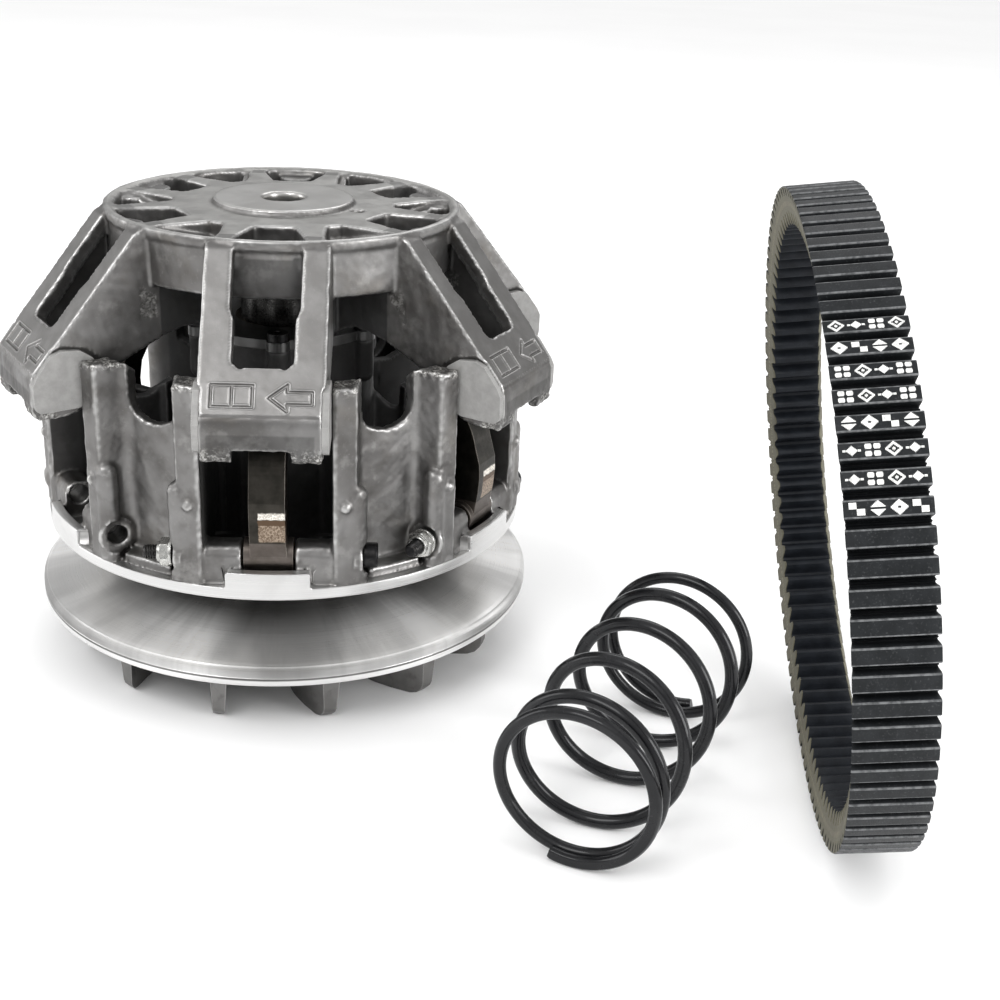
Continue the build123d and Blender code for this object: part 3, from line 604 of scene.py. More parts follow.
def build_spring():
    degrees = np.linspace(ADVANCE[0, 0], ADVANCE[-1, 0], 1100)
    angle = np.radians(degrees)
    # the open coils are a little heavier than the closed ends; their outside stays in line
    grow = 0.32 * smoothstep(300, 420, degrees) * (1 - smoothstep(1560, 1680, degrees))
    coil = COIL_R - grow
    path = np.stack([advance(degrees), coil * np.cos(angle), coil * np.sin(angle)], -1)
    tangent = np.gradient(path, axis=0)
    tangent /= np.linalg.norm(tangent, axis=1)[:, None]
    radial = np.stack([np.zeros_like(angle), np.cos(angle), np.sin(angle)], -1)
    binormal = np.cross(tangent, radial)
    binormal /= np.linalg.norm(binormal, axis=1)[:, None]
    radial = np.cross(binormal, tangent)
    segments = 28
    around = (np.arange(segments) * 2 * math.pi / segments)[None, :, None]
    ring = radial[:, None, :] * np.cos(around) + binormal[:, None, :] * np.sin(around)
    points = path[:, None, :] + ring * (WIRE / 2 + grow)[:, None, None]
    # end coils ground flat
    points[..., 0] = np.clip(points[..., 0], -END_GRIND, SPRING_LENGTH + END_GRIND)
    # the two cut ends are slightly smaller
    for end in (0, -1):
        points[end] = path[end] + (points[end] - path[end]) * 0.86
    axis = np.array([math.cos(SPRING_AZIMUTH), math.sin(SPRING_AZIMUTH), 0.0])
    right = np.array([math.sin(SPRING_AZIMUTH), -math.cos(SPRING_AZIMUTH), 0.0])
    mesh = grid_mesh("return_spring_wire", place(points, SPRING_START, axis, right, UP))
    weld(mesh)
    smooth(mesh, sharp=38)
    obj = add_object("return_spring_wire", mesh)
    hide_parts("return_spring")
    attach(obj, "loose_spring")
    return obj


# ---- belt --------------------------------------------------------------------------------
# The belt is an ellipse standing on its lower side, long axis near Y, its top leaning to -X.
BELT_LONG, BELT_HIGH = 140.0, 115.9         # half axes of the outer loop
BELT_WIDTH, BELT_THICK = 25.0, 14.0
YAW, LEAN = math.radians(3.6), math.radians(-8.2)
BELT_ALONG = np.array([math.sin(YAW), math.cos(YAW), 0.0])
BELT_LEVEL = np.array([math.cos(YAW), -math.sin(YAW), 0.0])
BELT_UP = UP * math.cos(LEAN) + BELT_LEVEL * math.sin(LEAN)
BELT_ACROSS = BELT_LEVEL * math.cos(LEAN) - UP * math.sin(LEAN)
BELT_CENTRE = np.array([219.6, -112.1, BELT_HIGH * math.cos(LEAN)
                        + BELT_WIDTH / 2 * abs(math.sin(LEAN))])
COGS = 96
LOOP_ANGLE = np.linspace(0, 2 * math.pi, 20001)
LOOP = np.stack([BELT_LONG * np.cos(LOOP_ANGLE), BELT_HIGH * np.sin(LOOP_ANGLE)], -1)
LOOP_RUN = np.concatenate([[0], np.cumsum(np.hypot(*(np.diff(LOOP, axis=0).T)))])
PERIMETER = float(LOOP_RUN[-1])
COG_PITCH = PERIMETER / COGS

# outer surface over one cog: (part of the pitch, depth below the outer loop)
OUTER_PROFILE = np.array([
    (0.0, 0.22), (0.02, 0.05), (0.045, 0.0), (0.07, 0.0), (0.2, 0.0), (0.35, 0.0), (0.5, 0.0),
    (0.555, 0.0), (0.58, 0.0), (0.605, 0.05), (0.625, 0.22), (0.64, 0.8), (0.655, 1.8),
    (0.67, 2.8), (0.69, 3.3), (0.715, 3.5), (0.745, 3.35), (0.77, 2.75), (0.8, 2.45),
    (0.83, 2.75), (0.855, 3.35), (0.885, 3.5), (0.91, 3.35), (0.935, 2.8), (0.955, 1.8),
    (0.975, 0.8)])
# stations of the belt's section, as parts of the half width or of the thickness
OUTER_STEPS = (-1.0, -0.97, -0.6, 0.0, 0.6, 0.97, 1.0)
SIDE_STEPS = (0.18, 0.4, 0.6, 0.8, 0.97)
INNER_STEPS = (0.97, 0.5, 0.0, -0.5, -0.97)


def belt_point(run, depth, across):
    """Points (m) at a run round the outer loop, a depth inwards and a place across."""
    run, depth, across = np.broadcast_arrays(run, depth, across)
    angle = np.interp(run % PERIMETER, LOOP_RUN, LOOP_ANGLE)
    outer = np.stack([BELT_LONG * np.cos(angle), BELT_HIGH * np.sin(angle)], -1)
    tangent = np.stack([-BELT_LONG * np.sin(angle), BELT_HIGH * np.cos(angle)], -1)
    tangent /= np.linalg.norm(tangent, axis=-1)[..., None]
    inward = np.stack([-tangent[..., 1], tangent[..., 0]], -1)
    local = np.concatenate([outer + inward * depth[..., None], across[..., None]], -1)
    return place(local, BELT_CENTRE, BELT_ALONG, BELT_UP, BELT_ACROSS)


def inner_gap(phase):
    """How far the rounded inner cogs stand back from the inner loop."""
    x = np.abs(((phase - 0.31) % 1.0) - 0.5) * 2          # 0 at groove middle .. 1 at cog tip
    return 4.7 * (1 - smoothstep(0.12, 0.8, x))


def half_width(depth):
    return BELT_WIDTH / 2 - depth * CONE_SLOPE


def build_belt():
    phase, profile = OUTER_PROFILE.T
    run = ((np.arange(COGS)[:, None] + phase[None, :]) * COG_PITCH).ravel()
    outer = np.tile(profile, COGS)
    inner = BELT_THICK - inner_gap(np.tile(phase, COGS))

    def side_column(step, sign):
        depth = outer + (inner - outer) * step
        return run, depth, sign * half_width(depth)

    columns = [(run, outer + (0.22 if abs(step) == 1.0 else 0.0), half_width(outer) * step)
               for step in OUTER_STEPS]
    columns += [side_column(step, 1) for step in SIDE_STEPS]
    columns += [(run, inner, half_width(inner) * step) for step in INNER_STEPS]
    columns += [side_column(step, -1) for step in SIDE_STEPS[::-1]]
    mesh = grid_mesh("cogged_belt", np.stack([belt_point(*c) for c in columns], 1), closed=True)
    along, depth, across = (np.stack(values, 1).ravel() for values in zip(*columns))
    # lighter edges, a painted highlight with some wear: both ends of each outer cog, and fainter
    # beside the ridge in the groove
    wear_and_sheen = ((phase <= 0.05) | between(phase, 0.575 - 1e-9, 0.626)) * 1.0
    for line in (0.715, 0.885):
        wear_and_sheen = np.maximum(wear_and_sheen, near(phase, line, 0.01) * 0.55)
    on_outer = np.arange(len(columns)) < len(OUTER_STEPS)
    edge = (np.tile(wear_and_sheen, COGS)[:, None] * on_outer[None, :]).ravel()
    set_attributes(mesh, along=along, depth=depth, across=across, edge=edge)
    with editing(mesh) as bm:
        bmesh.ops.recalc_face_normals(bm, faces=bm.faces[:])
    for material in (
            rubber_material("belt_back", low=(0.0085, 0.0098, 0.011),
                            high=(0.0155, 0.0172, 0.0192), light=(0.21, 0.215, 0.22)),
            belt_side_material(),
            rubber_material("belt_cogs", low=(0.006, 0.0072, 0.0095),
                            high=(0.011, 0.013, 0.0165), light=(0.05, 0.055, 0.065))):
        mesh.materials.append(material)
    # faces come in the order (station, column): back, side, cogs, side
    slots = np.repeat([0, 1, 2, 1], [6, 6, 4, 6]).astype(np.int32)
    mesh.polygons.foreach_set("material_index", np.tile(slots, len(run)))
    smooth(mesh, sharp=40)
    obj = add_object("cogged_belt", mesh)
    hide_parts("drive_belt")
    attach(obj, "belt")
    return obj


MARKED_COGS = range(34, 42)                 # on the front upper part of the loop
MARK_START, MARK_END = 0.055, 0.57          # as parts of the cog pitch
MARK_HALF = 11.6                            # half width of a row of ornaments
MARK_COLUMNS = 4
MARK_LAYERS = (0.05, -0.1)                  # depth of the hidden and the visible side
CELLS_ACROSS, CELLS_ALONG = 132, 14


def ornaments(x, y):
    """Masks of six plain ornaments; x, y in -1..1. None is a letter or a number."""
    width, height = np.abs(x), np.abs(y)
    diamond = width + height
    return (
        between(diamond, 0.62, 1.0) | (diamond < 0.24),               # outline with a dot
        ((x > 0) == (y > 0)) & (width < 0.86) & (height < 0.9),       # two opposite squares
        # solid diamond between two dots
        (diamond < 0.68) | (np.hypot(width - 0.82, height * 0.9) < 0.17),
        (diamond < 1.0) & (height > 0.14),                            # split by a bar
        np.hypot(width - 0.48, height - 0.5) < 0.4,                   # four dots
        (diamond < 1.0) & ~((width < 0.2) & (height < 0.2)))          # diamond with a hole


def build_marks():
    """Printed ornaments over a run of outer cogs, a hair above the rubber."""
    verts, faces = [], []
    phase = np.linspace(MARK_START, MARK_END, CELLS_ALONG + 1)
    across = np.linspace(-MARK_HALF, MARK_HALF, CELLS_ACROSS + 1)
    mid_phase, mid_across = (phase[:-1] + phase[1:]) / 2, (across[:-1] + across[1:]) / 2
    cell = 2 * MARK_HALF / MARK_COLUMNS
    column = np.floor((mid_across + MARK_HALF) / cell).astype(int).clip(0, MARK_COLUMNS - 1)
    x = ((mid_across + MARK_HALF) / cell - column) * 2 - 1
    y = (mid_phase - MARK_START) / (MARK_END - MARK_START) * 2 - 1
    layer_size = (CELLS_ALONG + 1) * (CELLS_ACROSS + 1)
    for row, cog in enumerate(MARKED_COGS):
        inked = np.zeros((CELLS_ALONG, CELLS_ACROSS), bool)
        for j in range(MARK_COLUMNS):
            chosen = column == j
            grid = np.meshgrid(x[chosen] * 1.12, y, indexing="xy")
            inked[:, chosen] = ornaments(*grid)[(j * 2 + row * 5 + (row // 3)) % 6]
        base = len(verts)
        run = (cog + phase) * COG_PITCH
        for depth in MARK_LAYERS:
            verts.extend(belt_point(run[:, None], depth, across[None, :]).reshape(-1, 3).tolist())

        def vert(layer, corner):
            return base + layer * layer_size + corner[0] * (CELLS_ACROSS + 1) + corner[1]

        for i, j in np.argwhere(inked).tolist():
            corners = [(i, j), (i + 1, j), (i + 1, j + 1), (i, j + 1)]
            faces.append([vert(0, c) for c in corners])
            faces.append([vert(1, c) for c in corners][::-1])
            # walls where the neighbouring cell is bare
            for n, (a, b) in enumerate(((i, j - 1), (i + 1, j), (i, j + 1), (i - 1, j))):
                inside = 0 <= a < CELLS_ALONG and 0 <= b < CELLS_ACROSS
                if not (inside and inked[a, b]):
                    start, end = corners[n], corners[(n + 1) % 4]
                    faces.append([vert(0, start), vert(1, start), vert(1, end), vert(0, end)])
    mesh = bpy.data.meshes.new("belt_marks")
    mesh.from_pydata(verts, [], faces)
    with editing(mesh) as bm:
        loose = [v for v in bm.verts if not v.link_faces]
        bmesh.ops.delete(bm, geom=loose, context="VERTS")
        bmesh.ops.recalc_face_normals(bm, faces=bm.faces[:])
    obj = add_object("belt_marks", mesh)
    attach(obj, "belt")
    return obj


# ---- node helpers ------------------------------------------------------------------------
class Nodes:
    """Builds a shader tree. Any value may be a number, a colour or another node's output."""

    def __init__(self, tree):
        self.tree = tree
        tree.nodes.clear()

    def node(self, kind, **settings):
        node = self.tree.nodes.new(kind)
        for key, value in settings.items():
            setattr(node, key, value)
        return node

    def put(self, socket, value):
        if isinstance(value, bpy.types.NodeSocket):
            self.tree.links.new(value, socket)
        elif isinstance(value, (tuple, list)) and len(value) == 3 and socket.type == "RGBA":
            socket.default_value = (*value, 1.0)
        else:
            socket.default_value = value

    def fill(self, node, *values):
        """Set the node's inputs in order; returns its first output."""
        for socket, value in zip(node.inputs, values):
            self.put(socket, value)
        return node.outputs[0]

    def math(self, operation, a, b=0.0, *more):
        return self.fill(self.node("ShaderNodeMath", operation=operation), a, b, *more)

    def mul(self, a, b):
        return self.math("MULTIPLY", a, b)

    def add(self, a, b):
        return self.math("ADD", a, b)

    def sub(self, a, b):
        return self.math("SUBTRACT", a, b)

    def ramp(self, value, over, to=(0.0, 1.0), kind="SMOOTHSTEP"):
        """Goes from to[0] to to[1] while the value goes from over[0] to over[1]."""
        return self.fill(self.node("ShaderNodeMapRange", interpolation_type=kind),
                         value, *over, *to)

    def linear(self, value, over, to):
        return self.ramp(value, over, to, kind="LINEAR")


class Material(Nodes):
    def __init__(self, name):
        self.data = bpy.data.materials.new(name)
        self.data.use_nodes = True
        super().__init__(self.data.node_tree)
        output = self.node("ShaderNodeOutputMaterial")
        self.shader = self.node("ShaderNodeBsdfPrincipled")
        self.put(output.inputs[0], self.shader.outputs[0])
        self.coords = self.node("ShaderNodeTexCoord").outputs["Object"]

    def set(self, **inputs):
        """Set the shader's inputs; returns the finished material."""
        for key, value in inputs.items():
            self.put(self.shader.inputs[key.replace("_", " ")], value)
        return self.data

    def vector_math(self, operation, *values):
        node = self.node("ShaderNodeVectorMath", operation=operation)
        self.fill(node, *values)
        return node.outputs["Value" if operation == "DOT_PRODUCT" else 0]

    def scaled(self, vector, scale):
        node = self.node("ShaderNodeVectorMath", operation="SCALE")
        self.put(node.inputs["Scale"], scale)
        return self.fill(node, vector)

    def mix(self, factor, a, b):
        node = self.node("ShaderNodeMix", data_type="RGBA")
        for i, value in ((0, factor), (6, a), (7, b)):
            self.put(node.inputs[i], value)
        return node.outputs[2]

    def mix_value(self, factor, a, b):
        node = self.node("ShaderNodeMix", data_type="FLOAT")
        for i, value in ((0, factor), (2, a), (3, b)):
            self.put(node.inputs[i], value)
        return node.outputs[0]

    def tones(self, field, over, low, high):
        """Two colours shared out by a field."""
        return self.mix(self.ramp(field, over), low, high)

    def tint(self, base, field, over, amount, colour):
        """Lay part of a colour over the base where the field is past its span."""
        return self.mix(self.mul(self.ramp(field, over), amount), base, colour)

    def noise(self, scale, detail=3.0, rough=0.55, at=None, distortion=0.0):
        node = self.node("ShaderNodeTexNoise")
        for key, value in (("Vector", self.coords if at is None else at), ("Scale", scale),
                           ("Detail", detail), ("Roughness", rough), ("Distortion", distortion)):
            self.put(node.inputs[key], value)
        return node.outputs[0]

    def noise_at(self, x, y, z, detail, rough):
        """Noise over stretched coordinates; larger factors give finer noise."""
        return self.noise(1.0, detail, rough, at=self.vector(x, y, z))

    def attribute(self, name):
        return self.node("ShaderNodeAttribute", attribute_name=name).outputs["Fac"]

    def xyz(self):
        node = self.node("ShaderNodeSeparateXYZ")
        self.fill(node, self.coords)
        return node.outputs

    def vector(self, x, y, z):
        return self.fill(self.node("ShaderNodeCombineXYZ"), x, y, z)

    def radius(self):
        x, y, _ = self.xyz()
        return self.math("SQRT", self.add(self.mul(x, x), self.mul(y, y)))

    def azimuth(self, x, y):
        return self.math("ARCTAN2", x, self.mul(y, -1.0))

    def bevel(self, mm, samples=4):
        return self.fill(self.node("ShaderNodeBevel", samples=samples), mm * MM)

    def bump(self, height, strength, mm, normal=None):
        node = self.node("ShaderNodeBump")
        self.put(node.inputs["Strength"], strength)
        self.put(node.inputs["Distance"], mm * MM)
        self.put(node.inputs["Height"], height)
        if normal is not None:
            self.put(node.inputs["Normal"], normal)
        return node.outputs[0]

    def edges(self, mm):
        """1 on a sharp edge, where the bevelled normal differs from the face's own."""
        face = self.node("ShaderNodeNewGeometry").outputs["Normal"]
        bend = self.vector_math("DOT_PRODUCT", self.bevel(mm), face)
        return self.ramp(bend, over=(0.995, 0.93))

    def pointiness(self):
        return self.node("ShaderNodeNewGeometry").outputs["Pointiness"]

    def radial_tangent(self):
        return self.node("ShaderNodeTangent", direction_type="RADIAL", axis="Z").outputs[0]


def paint(obj, material):
    obj.data.materials.clear()
    obj.data.materials.append(material)


# ---- materials ---------------------------------------------------------------------------
def cast_material():
    """Die-cast aluminium: soft satin skin, brighter edges that are partly wear and partly painted
    highlight, painted shade in hollows and recesses, painted light on up-facing tops, turned and
    raw places.
    """
    mat = Material("cast_aluminium_skin")
    turned, raw, dark, face, top = map(mat.attribute, ("mach", "raw", "dark", "face", "top"))
    mid = mat.noise(scale=120.0)
    fine = mat.noise(scale=950.0, rough=0.6)
    grain = mat.noise(scale=2600.0, detail=2.0, rough=0.6)
    base = mat.tones(mat.noise(scale=34.0), over=(0.3, 0.7), low=(0.135, 0.13, 0.126),
                     high=(0.25, 0.246, 0.242))
    base = mat.tint(base, mid, over=(0.48, 0.74), amount=0.5, colour=(0.115, 0.109, 0.102))
    # pale, then warm blotches, kept off the flat arm faces: scale, span, amount, colour
    for scale, over, amount, colour in ((105.0, (0.54, 0.7), 0.42, (0.34, 0.335, 0.325)),
                                        (55.0, (0.52, 0.72), 0.35, (0.15, 0.135, 0.115))):
        blotch = mat.mul(mat.ramp(mat.noise(scale, detail=4.0, rough=0.6), over), amount)
        base = mat.mix(mat.mul(blotch, mat.sub(1.0, face)), base, colour)
    base = mat.mix(face, base, mat.tones(mid, over=(0.35, 0.7), low=(0.202, 0.197, 0.192),
                                         high=(0.248, 0.243, 0.238)))
    # painted light: up-facing tops get a lighter colour
    base = mat.mix(top, base, mat.tones(mid, over=(0.35, 0.7), low=(0.27, 0.266, 0.258),
                                        high=(0.35, 0.346, 0.336)))
    base = mat.tint(base, fine, over=(0.6, 0.78), amount=0.2, colour=(0.42, 0.41, 0.4))
    # lighter edges, partly wear and partly painted highlight, and painted shade darkening the
    # hollows
    point = mat.pointiness()
    edge = mat.mul(mat.ramp(point, over=(0.514, 0.55)),
                   mat.ramp(mid, over=(0.25, 0.6), to=(0.55, 1.0)))
    base = mat.mix(mat.mul(edge, 0.85), base, (0.6, 0.595, 0.585))
    base = mat.tint(base, point, over=(0.485, 0.43), amount=0.5, colour=(0.055, 0.052, 0.049))
    base = mat.mix(turned, base, mat.tones(mat.noise(scale=60.0), over=(0.35, 0.7),
                                           low=(0.47, 0.463, 0.45), high=(0.56, 0.553, 0.54)))
    speck = mat.node("ShaderNodeTexVoronoi")
    mat.put(speck.inputs["Vector"], mat.coords)
    mat.put(speck.inputs["Scale"], 1500.0)
    speck = mat.ramp(speck.outputs["Distance"], over=(0.15, 0.55))
    raw_colour = mat.tones(mat.noise(scale=700.0, detail=4.0, rough=0.7), over=(0.44, 0.62),
                           low=(0.15, 0.145, 0.138), high=(0.78, 0.77, 0.74))
    raw_patch = mat.mul(raw, mat.ramp(mat.noise(scale=170.0, detail=4.0, rough=0.65),
                                      over=(0.38, 0.56)))
    base = mat.mix(raw_patch, base, raw_colour)
    # painted shade: near-black in the interiors, channels and undersides marked by build_cup and
    # build_sheave
    base = mat.mix(mat.mul(dark, 0.94), base, (0.009, 0.009, 0.0095))
    # roughness of the skin, then of each special place
    rough = mat.linear(mid, over=(0.3, 0.75), to=(0.38, 0.52))
    rough = mat.mix_value(mat.mul(edge, 0.6), rough, 0.3)
    rough = mat.mix_value(mat.mul(face, 0.7), rough, 0.36)
    rough = mat.mix_value(turned, rough, 0.3)
    rough = mat.mix_value(raw_patch, rough, mat.ramp(speck, over=(0, 1), to=(0.22, 0.5)))
    rough = mat.mix_value(mat.mul(dark, 0.8), rough, 0.7)
    normal = mat.bump(mat.noise(scale=80.0, detail=2.0, rough=0.45),
                      strength=mat.mix_value(face, 0.3, 0.06), mm=0.55)
    normal = mat.bump(mat.add(fine, mat.mul(grain, 0.5)),
                      strength=mat.mix_value(turned, 0.2, 0.05), mm=0.12, normal=normal)
    normal = mat.bump(mat.noise(scale=620.0, detail=5.0, rough=0.75),
                      strength=mat.mul(raw_patch, 0.9), mm=0.5, normal=normal)
    return mat.set(Base_Color=base, Metallic=mat.mix_value(dark, 1.0, 0.6), Roughness=rough,
                   Normal=normal)


def turned_material(name, tone, rough, anisotropy, grooves=0.06):
    """Turned bright aluminium: rings about the shaft, with fine scratches."""
    mat = Material(name)
    z = mat.xyz()[2]
    radius = mat.radius()
    ring = mat.noise_at(mat.mul(radius, 2400.0), mat.mul(z, 2400.0), 0.0, detail=4.0, rough=0.7)
    band = mat.noise_at(mat.mul(radius, 260.0), 0.0, 3.0, detail=2.0, rough=0.5)
    blot = mat.noise(scale=26.0, detail=4.0, rough=0.6, distortion=0.8)
    base = mat.tones(ring, over=(0.3, 0.75), low=(0.7 * tone, 0.697 * tone, 0.69 * tone),
                     high=(0.8 * tone, 0.797 * tone, 0.79 * tone))
    base = mat.tint(base, band, over=(0.5, 0.75), amount=0.1, colour=(0.5, 0.495, 0.485))
    base = mat.tint(base, blot, over=(0.52, 0.7), amount=0.14,
                    colour=(0.48 * tone, 0.475 * tone, 0.465 * tone))
    roughness = mat.add(mat.linear(ring, over=(0.3, 0.7), to=(rough * 0.8, rough * 1.35)),
                        mat.ramp(blot, over=(0.45, 0.75), to=(0.0, 0.1)))
    return mat.set(Base_Color=base, Metallic=1.0, Roughness=roughness, Anisotropic=anisotropy,
                   Anisotropic_Rotation=0.25, Tangent=mat.radial_tangent(),
                   Normal=mat.bump(ring, strength=grooves, mm=0.02, normal=mat.bevel(0.45)))


def fixed_sheave_material():
    """Turned cone face and rim, cast fins and back."""
    mat = Material("fixed_sheave_metal")
    x, y, z = mat.xyz()
    radius = mat.radius()
    cone = mat.sub((FIXED_Z + FIXED_R * CONE_SLOPE) * MM, mat.mul(radius, CONE_SLOPE))
    face = mat.math("GREATER_THAN", z, mat.sub(cone, 0.0005))
    face = mat.math("MAXIMUM", face, mat.math("GREATER_THAN", z, 0.0455))
    turned = mat.math("MAXIMUM", face, mat.math("GREATER_THAN", radius, 0.1072))
    ring = mat.noise_at(mat.mul(radius, 2600.0), mat.mul(z, 900.0), 0.0, detail=4.0, rough=0.7)
    band = mat.noise_at(mat.mul(radius, 240.0), 0.0, 3.0, detail=3.0, rough=0.6)
    angle = mat.azimuth(x, y)
    # radial streaks, part of the painted reflection
    painted_reflection_streak = mat.noise_at(mat.mul(angle, 5.5), mat.mul(radius, 9.0), 1.0, detail=4.0, rough=0.65)
    blot = mat.noise(scale=30.0, detail=4.0, rough=0.6, distortion=0.9)
    bright = mat.tones(ring, over=(0.3, 0.75), low=(0.76, 0.755, 0.745),
                       high=(0.86, 0.855, 0.845))
    bright = mat.tint(bright, band, over=(0.5, 0.72), amount=0.1, colour=(0.5, 0.495, 0.49))
    bright = mat.tint(bright, blot, over=(0.5, 0.7), amount=0.12, colour=(0.55, 0.54, 0.53))
    # painted reflection: broad radial sweeps and streaks, and six darker lobes near the arms
    painted_reflection_sweep = mat.noise_at(mat.mul(angle, 2.3), mat.mul(radius, 2.0), 4.0, detail=2.0, rough=0.5)
    bright = mat.tint(bright, painted_reflection_sweep, over=(0.36, 0.6), amount=0.42, colour=(0.36, 0.356, 0.352))
    bright = mat.tint(bright, painted_reflection_streak, over=(0.42, 0.62), amount=0.4, colour=(0.42, 0.416, 0.41))
    painted_reflection_lobe = mat.math("COSINE", mat.mul(mat.sub(angle, math.radians(FIRST_ARM + 1.0)), 6.0))
    painted_reflection_lobe = mat.add(painted_reflection_lobe, mat.mul(mat.sub(painted_reflection_sweep, 0.5), 2.2))
    bright = mat.tint(bright, painted_reflection_lobe, over=(-0.3, 0.85), amount=0.5, colour=(0.33, 0.327, 0.323))
    # the rim from below: bright lip, a blackened line of painted shade at the groove, and the wall
    # up to the cone, dimmed a little by painted shade (radii, heights in m)
    lip = mat.mul(mat.ramp(radius, over=(0.1068, 0.1076)), mat.ramp(z, over=(0.0278, 0.0272)))
    line = mat.mul(mat.ramp(radius, over=(0.1068, 0.1076)),
                   mat.mul(mat.ramp(z, over=(0.0276, 0.0279)),
                           mat.ramp(z, over=(0.0289, 0.0284))))
    wall = mat.mul(mat.ramp(radius, over=(0.1072, 0.1086)), mat.ramp(z, over=(0.0284, 0.0292)))
    # painted shade: the wall dimmed a little
    bright = mat.mix(mat.mul(wall, 0.12), bright, (0.3, 0.297, 0.293))
    bright = mat.mix(lip, bright, (0.66, 0.655, 0.65))
    # painted shade: the blackened line at the groove
    bright = mat.mix(mat.mul(line, 0.85), bright, (0.05, 0.049, 0.048))
    mid = mat.noise(scale=150.0, detail=4.0, rough=0.6, distortion=0.5)
    cast = mat.tones(mat.noise(scale=45.0), over=(0.3, 0.7), low=(0.15, 0.146, 0.142),
                     high=(0.235, 0.231, 0.226))
    cast = mat.tint(cast, mid, over=(0.55, 0.75), amount=0.5, colour=(0.12, 0.116, 0.11))
    # lighter edges on the cast back: partly wear, partly painted highlight
    cast = mat.mix(mat.mul(mat.edges(0.7), 0.7), cast, (0.42, 0.415, 0.41))
    turned_rough = mat.add(mat.linear(ring, over=(0.3, 0.7), to=(0.26, 0.34)),
                           mat.ramp(blot, over=(0.45, 0.75), to=(0.0, 0.06)))
    cast_rough = mat.linear(mid, over=(0.3, 0.75), to=(0.42, 0.6))
    # the rim wall above its groove reads as one surface with the cone
    cone_normal = mat.vector(mat.mul(mat.math("DIVIDE", x, radius), CONE_SLOPE),
                             mat.mul(mat.math("DIVIDE", y, radius), CONE_SLOPE), 1.0)
    lean = 0.86
    own = mat.scaled(mat.bevel(0.0005, samples=6), mat.sub(1.0, mat.mul(wall, lean)))
    leaned = mat.scaled(cone_normal, mat.mul(wall, lean))
    normal = mat.vector_math("NORMALIZE", mat.vector_math("ADD", own, leaned))
    normal = mat.bump(mat.noise(scale=90.0, detail=2.0, rough=0.5),
                      strength=mat.mix_value(turned, 0.35, 0.0), mm=0.6, normal=normal)
    normal = mat.bump(mat.noise(scale=1000.0, rough=0.6),
                      strength=mat.mix_value(turned, 0.25, 0.01), mm=0.12, normal=normal)
    normal = mat.bump(ring, strength=mat.mul(turned, 0.05), mm=0.02, normal=normal)
    # a little light of its own on the outer cone, most between the lobes
    glint = mat.mul(mat.ramp(painted_reflection_lobe, over=(0.2, -1.0)), 0.26)
    glow = mat.mul(mat.mul(turned, mat.ramp(radius, over=(0.07, 0.095))), mat.add(glint, 0.15))
    return mat.set(Base_Color=mat.mix(turned, cast, bright), Metallic=1.0,
                   Roughness=mat.mix_value(turned, cast_rough, turned_rough),
                   Anisotropic=mat.mul(turned, 0.8), Anisotropic_Rotation=0.25,
                   Tangent=mat.radial_tangent(), Normal=normal,
                   Emission_Color=bright, Emission_Strength=glow)


def steel_material(name, low, high, rough, edge, scale, bevel=0.25, scratch=0.0, bump=0.2):
    """Two-tone metal with bright edges, partly wear and partly painted highlight, and, if asked
    for, level scratches.
    """
    mat = Material(name)
    broad = mat.noise(scale, detail=4.0, rough=0.6, distortion=0.4)
    fine = mat.noise(scale * 6, rough=0.6)
    base = mat.tones(broad, over=(0.35, 0.68), low=low, high=high)
    # lighter edges: partly wear, partly painted highlight
    wear_and_sheen = mat.mul(mat.edges(bevel), mat.ramp(fine, over=(0.3, 0.6), to=(0.4, 1.0)))
    base = mat.mix(wear_and_sheen, base, edge)
    if scratch:
        stretch = mat.node("ShaderNodeMapping")
        mat.put(stretch.inputs[0], mat.coords)
        stretch.inputs["Scale"].default_value = (200.0, 200.0, 4000.0)
        lines = mat.noise(1.0, rough=0.6, at=stretch.outputs[0])
        base = mat.tint(base, lines, over=(0.5, 0.7), amount=scratch, colour=edge)
    return mat.set(Base_Color=base, Metallic=1.0,
                   Roughness=mat.linear(fine, over=(0.3, 0.75), to=(rough * 0.75, rough * 1.35)),
                   Normal=mat.bump(fine, strength=bump, mm=0.08, normal=mat.bevel(bevel)))


